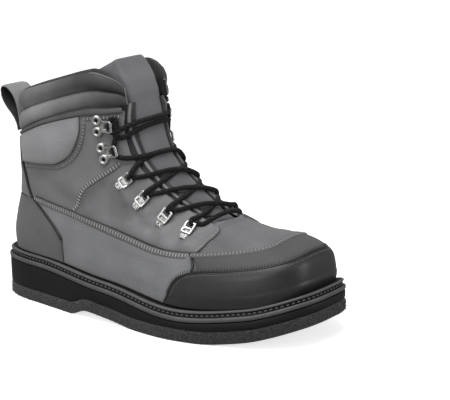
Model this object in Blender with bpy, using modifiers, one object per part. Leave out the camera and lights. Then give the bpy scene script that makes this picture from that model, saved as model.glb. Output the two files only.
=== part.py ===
"""Wading boot for the right foot: felt sole, lasted upper, padded collar, tongue and lacing."""
import math

import bmesh
import bpy
import numpy as np
from mathutils import Matrix, Vector

# Sole, in metres. The toe points along +X, the outer side of the foot faces -Y.
SOLE_LENGTH = 0.318
HEEL_REST_FROM_BACK = 0.042
HEEL_WIDTH = 0.091
WAIST_WIDTH = 0.090
BALL_WIDTH = 0.123
TOE_WIDTH = 0.119
WAIST_SWAY = 0.009
TOE_SWAY = 0.006
HEEL_ROUNDNESS = 3.6
TOE_ROUNDNESS = 3.1
HEEL_STACK = 0.0418
BALL_STACK = 0.0257
TOE_STACK = 0.0455
TOE_SPRING = 0.0190
ARCH_RISE = 0.0058
FELT_THICKNESS = 0.0100
WELT_THICKNESS = 0.0090
WELT_BAND_HEIGHT = 0.0044
WELT_GROOVE_DEPTH = 0.0024
WELT_LEDGE = 0.0050
INSOLE_THICKNESS = 0.0060
EDGE_ROUNDING = 0.0012

# Upper
UPPER_RISE = 0.171
UPPER_WALL = 0.0024
HEEL_BODY_WIDTH = 0.085
SHAFT_WIDTH = 0.082
BALL_BODY_WIDTH = 0.111
TOE_BODY_WIDTH = 0.114
BODY_WAIST_SWAY = 0.008
BODY_TOE_SWAY = 0.006
OVERLAY_THICKNESS = 0.0013
COLLAR_BULGE = 0.0034
COLLAR_PAD = 0.0095
TONGUE_THICKNESS = 0.0080
TONGUE_EDGE = 0.0022
LOOP_WIDTH = 0.026
LOOP_THICKNESS = 0.0016
LOOP_REACH = 0.0295
LOOP_DROP = 0.0355

# Lacing hardware
LACE_DIAMETER = 0.0040
RING_WIRE = 0.0017
RING_LENGTH = 0.0062
RING_WIDTH = 0.0092
RING_PLATE_LENGTH = 0.0090
RING_PLATE_WIDTH = 0.0074
PLATE_THICKNESS = 0.0010
RIVET_RADIUS = 0.0016
HOOK_EAR_RADIUS = 0.0036
HOOK_EAR_SPREAD = 0.0098
HOOK_LOOP_LENGTH = 0.0070
HOOK_LOOP_WIDTH = 0.0084
HOOK_TILT = math.radians(24)

CLEARANCE = 0.0003
FACET_CLEARANCE = 0.0005
OVERLAY_CLEARANCE = 0.0008
COLLAR_CLEARANCE = 0.0008

# The upper is a stack of closed loops from the sole's edge up to the collar. Each row is one
# loop. Back and front x are shares of SOLE_LENGTH, rises are shares of UPPER_RISE, and the
# half widths are shares of the half widths of the heel, shaft, ball and toe. Sway is the share
# of the two sways, and fall says how far the loop follows the sole's top edge.
LEVEL_COLUMNS = ("back_x", "back_rise", "front_x", "front_rise", "heel", "shaft", "ball", "toe",
                 "sway", "round_back", "round_front", "fall")
LEVELS = (
    (0.038, 0.000, 0.953, 0.000, 0.93, 0.95, 0.99, 0.98, 1.00, 4.2, 3.2, 1.00),
    (0.031, 0.058, 0.966, 0.058, 0.93, 0.95, 0.99, 1.00, 1.00, 4.0, 3.2, 1.00),
    (0.027, 0.117, 0.963, 0.125, 0.92, 0.95, 0.96, 0.97, 0.90, 3.6, 3.2, 0.90),
    (0.028, 0.175, 0.938, 0.180, 0.90, 0.94, 0.90, 0.86, 0.78, 3.2, 3.0, 0.70),
    (0.031, 0.227, 0.884, 0.217, 0.87, 0.93, 0.81, 0.70, 0.65, 2.9, 2.8, 0.50),
    (0.035, 0.273, 0.805, 0.236, 0.85, 0.93, 0.72, 0.60, 0.50, 2.7, 2.6, 0.30),
    (0.038, 0.319, 0.723, 0.272, 0.85, 0.93, 0.67, 0.56, 0.35, 2.6, 2.5, 0.15),
    (0.041, 0.371, 0.638, 0.356, 0.85, 0.93, 0.67, 0.58, 0.20, 2.5, 2.4, 0.05),
    (0.042, 0.424, 0.560, 0.463, 0.87, 0.95, 0.69, 0.61, 0.05, 2.4, 2.4, 0.00),
    (0.045, 0.471, 0.506, 0.574, 0.87, 0.98, 0.72, 0.67, 0.00, 2.4, 2.6, 0.00),
    (0.049, 0.518, 0.481, 0.685, 0.89, 1.00, 0.74, 0.70, 0.00, 2.4, 2.9, 0.00),
    (0.053, 0.564, 0.472, 0.778, 0.89, 1.00, 0.74, 0.72, 0.00, 2.4, 3.2, 0.00),
    (0.061, 0.640, 0.465, 0.854, 0.89, 1.00, 0.74, 0.72, 0.00, 2.4, 3.3, 0.00),
    (0.064, 0.716, 0.459, 0.925, 0.89, 1.00, 0.74, 0.72, 0.00, 2.4, 3.3, 0.00),
    (0.066, 0.792, 0.453, 1.000, 0.89, 1.00, 0.74, 0.72, 0.00, 2.4, 3.3, 0.00),
)
WIDTH_STATIONS = (0.10, 0.42, 0.72, 0.92)

# Edges on the upper. A level is a row of the table above, and a turn runs from 0 at the middle
# of the back to 1 at the middle of the front, positive on the outer side.
THROAT_EDGE = ((0.0, 0.856), (6.0, 0.856), (6.5, 0.836), (7.0, 0.812), (8.1, 0.800), (8.6, 0.803),
               (9.5, 0.820), (10.4, 0.839), (11.1, 0.858), (12.0, 0.880), (14.0, 0.900))
THROAT_FOOT = 6.0
COLLAR_FOOT = ((0.00, 11.20), (0.20, 11.33), (0.43, 11.67), (0.56, 11.73), (0.65, 11.67),
               (0.78, 11.33), (0.90, 11.15))
COLLAR_TOP = ((0.00, 14.00), (0.60, 14.00), (0.70, 13.90), (0.79, 13.27), (0.86, 12.45), (0.89, 11.95))
COLLAR_END = 0.880
COLLAR_FULLNESS = ((0.0, 1.0), (0.74, 1.0), (0.852, 0.72), (0.872, 0.55), (COLLAR_END, 0.30))
BINDING_GAP = 0.03
BINDING_FOOT = ((0.00, 10.90), (0.20, 11.02), (0.47, 11.36), (0.61, 11.28), (0.76, 11.00), (0.90, 10.80))
TOE_CAP_START = 0.594
TOE_CAP_TOP = ((0.594, 0.30), (0.600, 1.00), (0.611, 1.67), (0.630, 2.20), (0.650, 2.42), (0.690, 2.53),
               (0.890, 2.55), (1.000, 2.72))
COUNTER_END = 0.332
COUNTER_TOP = ((0.00, 4.80), (0.15, 4.90), (0.235, 5.05), (0.262, 4.35), (0.286, 3.60), (0.322, 2.40),
               (0.332, 1.90))
EYESTAY_REAR = ((3.30, 0.610), (3.60, 0.522), (4.40, 0.460), (5.13, 0.408), (6.30, 0.490),
                (7.40, 0.575), (8.00, 0.660), (8.50, 0.740))
EYESTAY_FRONT = ((3.30, 0.655), (3.53, 0.675), (4.47, 0.739), (4.87, 0.778), (5.73, 0.850),
                 (6.00, 0.850), (6.50, 0.832), (7.00, 0.808), (8.10, 0.797), (8.50, 0.799))
TONGUE_FOOT = 5.25
TONGUE_TOP = 14.12
TONGUE_CORNER = 1.1
TONGUE_CORNER_FOOT = 11.4
TONGUE_THIN_END = 0.15
TONGUE_LEAN = 0.0135
TONGUE_LEAN_LEVELS = ((11.8, 0.0), (12.8, 0.28), (13.6, 0.68), (14.12, 1.0))
TONGUE_SIDE = ((5.25, 0.860), (6.0, 0.800), (7.0, 0.750), (8.1, 0.735), (9.5, 0.760), (11.0, 0.780),
               (12.5, 0.760), (14.3, 0.725))
TONGUE_TUCK = ((0.76, 0.0115), (0.86, 0.0112), (0.93, 0.0036), (1.00, 0.0030))
TONGUE_FOOT_TUCK = ((5.25, 0.0018), (6.0, 0.0013), (7.0, 0.0003), (8.0, 0.0))
TONGUE_TUCK_LEVELS = ((10.2, 0.0), (11.6, 1.0), (14.3, 1.0))

# Lacing places on the upper: level and turn, with the level that the piece points to.
RING_PLACES = ((5.30, 0.728), (6.18, 0.713), (6.98, 0.696), (7.80, 0.698))
HOOK_PLACES = ((9.10, 0.694), (10.45, 0.711))
RING_LEAN = (0.44, 0.32, 0.265, 0.20)
RING_LIFT = (0.0011, 0.0015, 0.0005, 0.0005)
HOOK_LEAN = (0.05, -0.10)

# Shares of the way from the middle of the back to the throat, and from there to the front.
SIDE_SHARES = (0.0, 0.025, 0.058, 0.100, 0.152, 0.212, 0.278, 0.350, 0.425, 0.500, 0.575, 0.650,
               0.722, 0.794, 0.866, 0.934, 1.0)
FRONT_SHARES = (0.32, 0.62, 0.86, 1.0)


class Curve:
    """A smooth line through a few points, which never swings past them."""

    def __init__(self, points):
        self.places = [point[0] for point in points]
        self.values = [point[1] for point in points]
        steps = [b - a for a, b in zip(self.places, self.places[1:])]
        rates = [(b - a) / step for a, b, step in zip(self.values, self.values[1:], steps)]
        self.slopes = [rates[0]]
        for before, after in zip(rates, rates[1:]):
            same_way = before * after > 0
            self.slopes.append(2 * before * after / (before + after) if same_way else 0.0)
        self.slopes.append(rates[-1])

    def __call__(self, place):
        if place <= self.places[0]:
            return self.values[0]
        if place >= self.places[-1]:
            return self.values[-1] + self.slopes[-1] * (place - self.places[-1])
        i = 0
        while place > self.places[i + 1]:
            i += 1
        step = self.places[i + 1] - self.places[i]
        u = (place - self.places[i]) / step
        start = (2 * u ** 3 - 3 * u ** 2 + 1) * self.values[i]
        start += (u ** 3 - 2 * u ** 2 + u) * step * self.slopes[i]
        end = (3 * u ** 2 - 2 * u ** 3) * self.values[i + 1]
        end += (u ** 3 - u ** 2) * step * self.slopes[i + 1]
        return start + end


def held(points):
    """A curve that keeps its last value past its last point."""
    curve = Curve(points)
    last_place = points[-1][0]
    return lambda place: curve(min(place, last_place))


def mix(a, b, share):
    return a + (b - a) * share


def wrapped(turn):
    """The same place on the loop as a turn between -1 and 1."""
    return (turn + 1) % 2 - 1


def length_share(turn):
    """How far along the loop a turn lies, from 0 at the back to 1 at the front."""
    return (1 - math.cos(math.pi * turn)) / 2


def bow(share, back, front):
    """Half width of a rounded oval, as a share, with its own roundness at each end."""
    power = mix(back, front, share)
    return max(0.0, 1 - abs(2 * share - 1) ** power) ** (1 / power)


# The sole's outline and heights
sole_half = Curve(((0.0, HEEL_WIDTH / 2), (0.14, HEEL_WIDTH / 2), (0.41, WAIST_WIDTH / 2),
                   (0.68, BALL_WIDTH / 2), (0.87, TOE_WIDTH / 2), (1.0, TOE_WIDTH / 2)))
sole_sway = Curve(((0.0, 0.0), (0.14, 0.0), (0.41, -WAIST_SWAY), (0.68, 0.0), (0.87, 0.7 * TOE_SWAY),
                   (1.0, TOE_SWAY)))
floor_line = Curve(((0.0, 0.0), (0.295, 0.0), (0.36, ARCH_RISE), (0.44, 0.55 * ARCH_RISE), (0.54, 0.0),
                    (0.72, 0.0), (0.84, 0.22 * TOE_SPRING), (1.0, TOE_SPRING)))
platform_line = Curve(((0.0, HEEL_STACK), (0.19, mix(HEEL_STACK, BALL_STACK, 0.04)),
                       (0.44, mix(HEEL_STACK, BALL_STACK, 0.5)), (0.68, BALL_STACK),
                       (0.85, mix(BALL_STACK, TOE_STACK, 0.3)), (1.0, TOE_STACK)))
LEVEL = {name: Curve([(row, values[i]) for row, values in enumerate(LEVELS)])
         for i, name in enumerate(LEVEL_COLUMNS)}
throat_edge = held(THROAT_EDGE)
collar_foot = held(COLLAR_FOOT)
collar_top = held(COLLAR_TOP)
collar_fullness = held(COLLAR_FULLNESS)
binding_foot = held(BINDING_FOOT)
toe_cap_top = held(TOE_CAP_TOP)
counter_top = held(COUNTER_TOP)
eyestay_rear = held(EYESTAY_REAR)
eyestay_front = held(EYESTAY_FRONT)
tongue_side = held(TONGUE_SIDE)
tongue_tuck = held(TONGUE_TUCK)
tongue_foot_tuck = held(TONGUE_FOOT_TUCK)
tongue_tuck_share = held(TONGUE_TUCK_LEVELS)
tongue_lean = held(TONGUE_LEAN_LEVELS)


def placed(x, y, z):
    """A point measured from the back of the heel, in the part's own frame."""
    return Vector((x - HEEL_REST_FROM_BACK, y, z))


def sole_point(turn):
    """A point of the sole's outline, seen from above."""
    share = length_share(turn)
    side = -1 if wrapped(turn) > 0 else 1
    y = sole_sway(share) + side * sole_half(share) * bow(share, HEEL_ROUNDNESS, TOE_ROUNDNESS)
    return Vector((share * SOLE_LENGTH, y))


def upper_x(level, share):
    return mix(LEVEL["back_x"](level), LEVEL["front_x"](level), share) * SOLE_LENGTH


def upper_point(level, turn):
    """A point of the upper's outer surface."""
    share = length_share(turn)
    side = -1 if wrapped(turn) > 0 else 1
    widths = (LEVEL["heel"](level) * HEEL_BODY_WIDTH / 2, LEVEL["shaft"](level) * SHAFT_WIDTH / 2,
              LEVEL["ball"](level) * BALL_BODY_WIDTH / 2, LEVEL["toe"](level) * TOE_BODY_WIDTH / 2)
    half = held(tuple(zip(WIDTH_STATIONS, widths)))(share)
    sway = LEVEL["sway"](level)
    middle = -sway * BODY_WAIST_SWAY * math.exp(-((share - 0.42) / 0.18) ** 2)
    middle += sway * BODY_TOE_SWAY * max(0.0, (share - 0.6) / 0.4) ** 1.5
    y = middle + side * half * bow(share, LEVEL["round_back"](level), LEVEL["round_front"](level))
    edge = platform_line(upper_x(0, share) / SOLE_LENGTH)
    back_edge = platform_line(upper_x(0, 0) / SOLE_LENGTH)
    front_edge = platform_line(upper_x(0, 1) / SOLE_LENGTH)
    base = mix(mix(back_edge, front_edge, share), edge, LEVEL["fall"](level))
    rise = mix(LEVEL["back_rise"](level), LEVEL["front_rise"](level), share) * UPPER_RISE
    return placed(upper_x(level, share), y, base + rise + FACET_CLEARANCE)


def upper_normal(level, turn):
    """The outward direction at a point of the upper."""
    low = max(level - 0.06, 0)
    along = upper_point(level, turn + 0.004) - upper_point(level, turn - 0.004)
    upward = upper_point(level + 0.06, turn) - upper_point(low, turn)
    return along.cross(upward).normalized()


def skin(level, turn, offset=0.0):
    """A point at some distance outside the upper's surface, or inside it when negative."""
    point = upper_point(level, turn)
    return point + upper_normal(level, turn) * offset if offset else point


def loop_turns(edge, front=True):
    """Turns of one loop: from the outer throat edge round the back, then across the front."""
    outer = [edge * share for share in reversed(SIDE_SHARES)]
    turns = outer + [-turn for turn in reversed(outer[:-1])]
    if front:
        ahead = [mix(edge, 1.0, share) for share in FRONT_SHARES]
        turns += [-turn for turn in ahead] + [turn for turn in reversed(ahead[:-1])]
    return turns


# Modelling helpers
def material(name, colour, roughness, metallic=0.0):
    made = bpy.data.materials.new(name)
    made.use_nodes = True
    shader = made.node_tree.nodes["Principled BSDF"]
    shader.inputs["Base Color"].default_value = (*colour, 1.0)
    shader.inputs["Roughness"].default_value = roughness
    shader.inputs["Metallic"].default_value = metallic
    return made


def new_object(name, mesh, finish):
    thing = bpy.data.objects.new(name, mesh)
    mesh.materials.clear()
    mesh.materials.append(finish)
    PARTS.objects.link(thing)
    return thing


def mesh_from(name, points, faces):
    mesh = bpy.data.meshes.new(name)
    mesh.from_pydata([tuple(point) for point in points], [], faces)
    mesh.shade_smooth()
    mesh.set_sharp_from_angle(angle=math.radians(40))
    return mesh


def sheet(name, rows, finish, thickness, outward=True, closed=False):
    """A shell over a grid of points, made thick away from or into the foot."""
    width = len(rows[0])
    columns = width if closed else width - 1
    faces = []
    for i in range(len(rows) - 1):
        for j in range(columns):
            k = (j + 1) % width
            faces.append((i * width + k, i * width + j, (i + 1) * width + j, (i + 1) * width + k))
    points = [point for row in rows for point in row]
    shell = new_object(name, mesh_from(name, points, faces), finish)
    add_thickness(shell, thickness, outward)
    return shell


def add_thickness(shell, thickness, outward):
    wall = shell.modifiers.new("wall", 'SOLIDIFY')
    wall.thickness = thickness
    wall.offset = 1 if outward else -1
    wall.use_even_offset = True


def loft(name, loops, finish, cap=None):
    """A solid through loops of equal length. Without a cap the last loop joins the first."""
    count = len(loops[0])
    rings = len(loops)
    faces = []
    for i in range(rings if cap is None else rings - 1):
        for j in range(count):
            k = (j + 1) % count
            m = (i + 1) % rings
            faces.append((i * count + j, i * count + k, m * count + k, m * count + j))
    if cap is not None:
        last = (rings - 1) * count
        faces += [tuple(reversed(face)) for face in cap(count)]
        faces += [tuple(last + index for index in face) for face in cap(count)]
    points = [point for loop in loops for point in loop]
    mesh = mesh_from(name, points, faces)
    face_outward(mesh)
    return new_object(name, mesh, finish)


def face_outward(mesh):
    shape = bmesh.new()
    shape.from_mesh(mesh)
    bmesh.ops.recalc_face_normals(shape, faces=shape.faces)
    shape.to_mesh(mesh)
    shape.free()


def plate_cap(count):
    """Strips from side to side across a sole-shaped loop that starts at the back."""
    half = count // 2
    faces = [(0, 1, count - 1)]
    faces += [(j, j + 1, count - j - 1, count - j) for j in range(1, half - 1)]
    faces.append((half - 1, half, half + 1))
    return faces


def end_cap(count):
    return [tuple(range(count))]


def sole_turns():
    steps = [share * 0.84 for share in SIDE_SHARES] + [mix(0.84, 1.0, share) for share in FRONT_SHARES]
    outer = [turn for turn in steps[:-1]]
    return outer + [1.0] + [-turn for turn in reversed(outer[1:])]


def inset_outline(point_at, inset):
    """The points of a closed outline, moved inwards by a fixed distance."""
    turns = sole_turns()
    outline = []
    for turn in turns:
        ahead = point_at(turn + 0.003) - point_at(turn - 0.003)
        inward = Vector((ahead.y, -ahead.x)).normalized()
        if inward.dot(point_at(turn) - Vector((SOLE_LENGTH / 2, 0))) > 0:
            inward = -inward
        outline.append(point_at(turn) + inward * inset)
    return outline


def sole_loop(inset, height_of):
    return [placed(p.x, p.y, height_of(p.x / SOLE_LENGTH)) for p in inset_outline(sole_point, inset)]


def feather_loop(inset, height_of):
    """A loop inside the line where the upper meets the sole."""
    def feather_point(turn):
        point = upper_point(0, turn)
        return Vector((point.x + HEEL_REST_FROM_BACK, point.y))

    return [placed(p.x, p.y, height_of(p.x / SOLE_LENGTH)) for p in inset_outline(feather_point, inset)]


def above(line, height):
    return lambda share: line(share) + height


# The sole
def build_felt():
    """The felt outsole: flat under the heel and the ball, with an arch and a toe spring."""
    loops = [sole_loop(1.6 * EDGE_ROUNDING, floor_line),
             sole_loop(0.8 * EDGE_ROUNDING, above(floor_line, EDGE_ROUNDING)),
             sole_loop(0.5 * EDGE_ROUNDING, above(floor_line, FELT_THICKNESS))]
    return loft("outsole_felt", loops, FELT, plate_cap)


def build_midsole():
    low = FELT_THICKNESS + CLEARANCE
    high = -WELT_THICKNESS - FACET_CLEARANCE
    loops = [sole_loop(EDGE_ROUNDING, above(floor_line, low)),
             sole_loop(0.4 * EDGE_ROUNDING, above(floor_line, low + EDGE_ROUNDING)),
             sole_loop(0.6 * EDGE_ROUNDING, above(platform_line, high - EDGE_ROUNDING)),
             sole_loop(1.5 * EDGE_ROUNDING, above(platform_line, high))]
    return loft("midsole", loops, BLACK_RUBBER, plate_cap)


def build_welt():
    """The ring between midsole and upper: a band, a stitched groove and a thin bead."""
    band = WELT_BAND_HEIGHT - WELT_THICKNESS
    bead = -0.30 * WELT_THICKNESS
    profile = ((0.6 * EDGE_ROUNDING, -WELT_THICKNESS), (0.0, 0.5 * EDGE_ROUNDING - WELT_THICKNESS),
               (0.0, band - 0.3 * EDGE_ROUNDING), (0.4 * EDGE_ROUNDING, band),
               (WELT_GROOVE_DEPTH, band + 0.2 * EDGE_ROUNDING), (WELT_GROOVE_DEPTH, bead),
               (0.6 * WELT_GROOVE_DEPTH, bead + 0.3 * EDGE_ROUNDING),
               (0.6 * WELT_GROOVE_DEPTH, -0.7 * EDGE_ROUNDING), (WELT_GROOVE_DEPTH, 0.0))
    loops = [sole_loop(inset, above(platform_line, height)) for inset, height in profile]
    inner = UPPER_WALL + WELT_LEDGE * 0.4
    loops.append(feather_loop(inner, platform_line))
    loops.append(feather_loop(inner, above(platform_line, -WELT_THICKNESS)))
    return loft("welt", loops, GREY_RUBBER)


def build_insole():
    inner = UPPER_WALL + WELT_LEDGE * 0.4 + FACET_CLEARANCE
    low = -WELT_THICKNESS
    high = low + INSOLE_THICKNESS
    loops = [feather_loop(inner, above(platform_line, low)),
             feather_loop(inner, above(platform_line, high - EDGE_ROUNDING)),
             feather_loop(inner + EDGE_ROUNDING, above(platform_line, high))]
    return loft("insole", loops, LINING, plate_cap)


# The upper
def build_upper():
    """The lasted upper, one wall, open at the throat, at the collar and under the foot."""
    vamp_levels = (0.0, 0.7, 1.4, 2.1, 2.8, 3.5, 4.3, 5.1, THROAT_FOOT)
    shaft_shares = (0.12, 0.25, 0.39, 0.53, 0.68, 0.84, 1.0)
    rows = []
    for level in vamp_levels:
        rows.append([skin(level, turn) for turn in loop_turns(throat_edge(level))])
    for share in shaft_shares:
        row = []
        for turn in loop_turns(throat_edge(mix(THROAT_FOOT, 11.2, share)), front=False):
            level = mix(THROAT_FOOT, collar_foot(abs(turn)), share)
            row.append(skin(level, turn))
        rows.append(row)
    full = len(rows[0])
    part = len(rows[-1])
    starts = [0]
    for row in rows[:-1]:
        starts.append(starts[-1] + len(row))
    faces = []
    for i in range(len(rows) - 1):
        closed = len(rows[i + 1]) == full
        for j in range(full if closed else part - 1):
            k = (j + 1) % full
            faces.append((starts[i] + k, starts[i] + j, starts[i + 1] + j, starts[i + 1] + k))
    points = [point for row in rows for point in row]
    upper = new_object("upper", mesh_from("upper", points, faces), GREY_LEATHER)
    add_thickness(upper, UPPER_WALL, outward=False)
    return upper


def side_turns(start, end, side):
    """The upper's own columns between two turns, so that an overlay follows its facets."""
    edge = throat_edge(0)
    own = [edge * share for share in SIDE_SHARES] + [mix(edge, 1.0, share) for share in FRONT_SHARES]
    kept = [turn for turn in own if start + 0.003 < turn < end - 0.003]
    return [side * turn for turn in [start] + kept + [end]]


def build_toe_cap():
    """The rubbed toe cap, lapped over the vamp from the outer ball round to the inner ball."""
    outer = side_turns(TOE_CAP_START, 1.0, 1)
    turns = [-turn for turn in outer] + list(reversed(outer[:-1]))
    shares = (0.0, 0.18, 0.37, 0.57, 0.78, 1.0)
    low = 0.14
    rows = [[skin(mix(low, toe_cap_top(abs(turn)), share), turn, OVERLAY_CLEARANCE) for turn in turns]
            for share in shares]
    return sheet("toe_cap", rows, BLACK_LEATHER, OVERLAY_THICKNESS)


def build_heel_counter():
    outer = side_turns(0.0, COUNTER_END, 1)
    turns = list(reversed(outer)) + [-turn for turn in outer[1:]]
    shares = (0.0, 0.2, 0.4, 0.6, 0.8, 1.0)
    low = 0.14
    rows = [[skin(mix(low, counter_top(abs(turn)), share), turn, OVERLAY_CLEARANCE) for turn in turns]
            for share in shares]
    return sheet("heel_counter", rows, DARK_LEATHER, OVERLAY_THICKNESS)


def build_eyestay(name, side):
    """The lacing panel of one side, between the two seams and the throat."""
    levels = (3.30, 3.55, 4.0, 4.5, 5.0, 5.5, 6.0, 6.6, 7.2, 7.8, 8.5)
    shares = (0.0, 0.13, 0.26, 0.39, 0.52, 0.65, 0.77, 0.89, 1.0)
    rows = []
    for level in levels:
        rear, front = eyestay_rear(level), eyestay_front(level)
        turns = [side * mix(rear, front, share) for share in shares]
        rows.append([skin(level, turn, OVERLAY_CLEARANCE) for turn in turns])
    if side > 0:
        rows = [list(reversed(row)) for row in rows]
    return sheet(name, rows, DARK_LEATHER, OVERLAY_THICKNESS)


def build_binding():
    """The narrow strip under the collar."""
    turns = [turn for turn in loop_turns(throat_edge(11.0), front=False)]
    rows = []
    for share in (0.0, 1.0):
        row = []
        for turn in turns:
            high = collar_foot(abs(turn)) - BINDING_GAP
            row.append(skin(mix(binding_foot(abs(turn)), high, share), turn, OVERLAY_CLEARANCE))
        rows.append(row)
    return sheet("collar_binding", rows, DARK_LEATHER, OVERLAY_THICKNESS)


def collar_section(turn, fullness):
    """One section of the padded collar: two rolls outside, a round top and a padded inside."""
    bulge = COLLAR_BULGE * fullness
    pad = COLLAR_PAD * fullness
    shape = ((0.00, 0.40 * bulge), (0.08, 0.90 * bulge), (0.22, bulge), (0.38, 0.75 * bulge),
             (0.455, 0.05 * bulge), (0.53, 0.75 * bulge), (0.70, bulge), (0.88, 0.70 * bulge),
             (1.00, -0.30 * pad), (0.97, -0.75 * pad), (0.80, -pad), (0.20, -pad), (0.00, -0.80 * pad))
    low = collar_foot(abs(turn))
    high = collar_top(abs(turn))
    lift = Vector((0, 0, COLLAR_CLEARANCE))
    return [skin(mix(low, high, share), turn, offset) + lift for share, offset in shape]


def build_collar():
    edge = throat_edge(11.2)
    outer = [edge * share for share in SIDE_SHARES] + [mix(edge, COLLAR_END, 0.6), COLLAR_END]
    turns = list(reversed(outer)) + [-turn for turn in outer[1:]]
    loops = [collar_section(turn, collar_fullness(abs(turn))) for turn in turns]
    return loft("collar", loops, PADDED, end_cap)


def build_tongue():
    """The padded tongue, tucked inside the throat, round at its top corners and leaning back there."""
    levels = (TONGUE_FOOT, 5.9, 6.6, 7.3, 8.1, 8.9, 9.7, 10.5, 11.4, 12.3, 13.2, 13.8, TONGUE_TOP)
    across = (-1.0, -0.86, -0.68, -0.46, -0.22, 0.0, 0.22, 0.46, 0.68, 0.86, 1.0)
    outer_rows, inner_rows = [], []
    for level in levels:
        side = tongue_side(level)
        rounding = max(0.0, level - TONGUE_CORNER_FOOT) / (TONGUE_TOP - TONGUE_CORNER_FOOT)
        outer_row, inner_row = [], []
        for share in across:
            turn = wrapped(1.0 - share * (1.0 - side))
            here = level - TONGUE_CORNER * rounding * abs(share) ** 3
            crown = 1 - abs(share) ** 3
            end = min(1.0, (level - TONGUE_FOOT) / 0.8, (TONGUE_TOP - level) / 0.6)
            thickness = mix(TONGUE_EDGE, TONGUE_THICKNESS, crown * max(end, TONGUE_THIN_END))
            tuck = UPPER_WALL + OVERLAY_CLEARANCE + tongue_foot_tuck(level)
            tuck = mix(tuck, max(tongue_tuck(abs(turn)), tuck), tongue_tuck_share(level))
            tuck = mix(tuck, TONGUE_LEAN, tongue_lean(level))
            outer_row.append(skin(here, turn, -tuck))
            inner_row.append(skin(here, turn, -tuck - thickness))
        outer_rows.append(outer_row)
        inner_rows.append(inner_row)
    return slab("tongue", outer_rows, inner_rows, TONGUE_LEATHER)


def slab(name, top_rows, bottom_rows, finish):
    """A closed plate between two grids of the same size."""
    height, width = len(top_rows), len(top_rows[0])
    base = height * width
    faces = []
    for i in range(height - 1):
        for j in range(width - 1):
            face = (i * width + j, i * width + j + 1, (i + 1) * width + j + 1, (i + 1) * width + j)
            faces.append(face)
            faces.append(tuple(base + index for index in reversed(face)))
    rim = [j for j in range(width)]
    rim += [i * width + width - 1 for i in range(1, height)]
    rim += [(height - 1) * width + j for j in range(width - 2, -1, -1)]
    rim += [i * width for i in range(height - 2, 0, -1)]
    for start, end in zip(rim, rim[1:] + rim[:1]):
        faces.append((end, start, base + start, base + end))
    points = [point for row in top_rows for point in row]
    points += [point for row in bottom_rows for point in row]
    mesh = mesh_from(name, points, faces)
    face_outward(mesh)
    return new_object(name, mesh, finish)


def build_pull_loop():
    """A webbing loop that stands up along the collar's back, folds over and comes down outside."""
    top = skin(14.0, 0.0)
    bend = ((-0.26, -0.89), (-0.28, -0.70), (-0.33, -0.45), (-0.42, -0.25), (-0.56, -0.09), (-0.75, 0.01),
            (-0.865, 0.01), (-0.925, -0.07), (-0.915, -0.19), (-0.84, -0.34), (-0.69, -0.50), (-0.54, -0.625),
            (-0.415, -0.765), (-0.34, -0.92), (-0.32, -1.02))
    reach = Curve([(i, point[0]) for i, point in enumerate(bend)])
    drop = Curve([(i, point[1]) for i, point in enumerate(bend)])
    rows = []
    for step in range(2 * len(bend) - 1):
        centre = top + Vector((reach(step / 2) * LOOP_REACH, 0.0, drop(step / 2) * LOOP_DROP))
        rows.append([centre + Vector((0, y, 0)) for y in (LOOP_WIDTH / 2, 0, -LOOP_WIDTH / 2)])
    return sheet("pull_loop", rows, WEBBING, LOOP_THICKNESS)


# The lacing
def frame_at(level, turn, lean, offset):
    """A frame on the upper: x towards the throat, z outwards."""
    side = 1 if turn > 0 else -1
    origin = skin(level, turn, offset)
    ahead = skin(level + lean, turn + 0.04 * side) - skin(level, turn)
    outward = upper_normal(level, turn)
    ahead = (ahead - outward * ahead.dot(outward)).normalized()
    across = outward.cross(ahead)
    frame = Matrix((ahead, across, outward)).transposed().to_4x4()
    frame.translation = origin
    return frame


def box(name, low, high):
    shape = bmesh.new()
    middle = (Vector(low) + Vector(high)) / 2
    size = Vector(high) - Vector(low)
    bmesh.ops.create_cube(shape, size=1.0, matrix=Matrix.Translation(middle) @ Matrix.Diagonal((*size, 1)))
    return finished(name, shape)


def disc(name, centre, radius, low, high, sides=12, top_share=1.0):
    shape = bmesh.new()
    place = Matrix.Translation((centre[0], centre[1], (low + high) / 2))
    bmesh.ops.create_cone(shape, cap_ends=True, segments=sides, radius1=radius, radius2=radius * top_share,
                          depth=high - low, matrix=place)
    return finished(name, shape)


def finished(name, shape):
    mesh = bpy.data.meshes.new(name)
    shape.to_mesh(mesh)
    shape.free()
    thing = bpy.data.objects.new(name, mesh)
    CUTTERS.objects.link(thing)
    return thing


def wire(name, points, radius, cyclic=False, resolution=1):
    """A tube through points, turned into a closed mesh."""
    curve = bpy.data.curves.new(name, 'CURVE')
    curve.dimensions = '3D'
    curve.bevel_depth = radius
    curve.bevel_resolution = resolution
    curve.use_fill_caps = not cyclic
    line = curve.splines.new('POLY')
    line.points.add(len(points) - 1)
    for spot, point in zip(line.points, points):
        spot.co = (*point, 1.0)
    line.use_cyclic_u = cyclic
    guide = bpy.data.objects.new(name, curve)
    CUTTERS.objects.link(guide)
    evaluated = guide.evaluated_get(bpy.context.evaluated_depsgraph_get())
    mesh = bpy.data.meshes.new_from_object(evaluated)
    bpy.data.objects.remove(guide)
    bpy.data.curves.remove(curve)
    shape = bmesh.new()
    shape.from_mesh(mesh)
    bmesh.ops.remove_doubles(shape, verts=shape.verts, dist=0.00001)
    bmesh.ops.recalc_face_normals(shape, faces=shape.faces)
    shape.to_mesh(mesh)
    shape.free()
    tube = bpy.data.objects.new(name, mesh)
    CUTTERS.objects.link(tube)
    return tube


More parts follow.
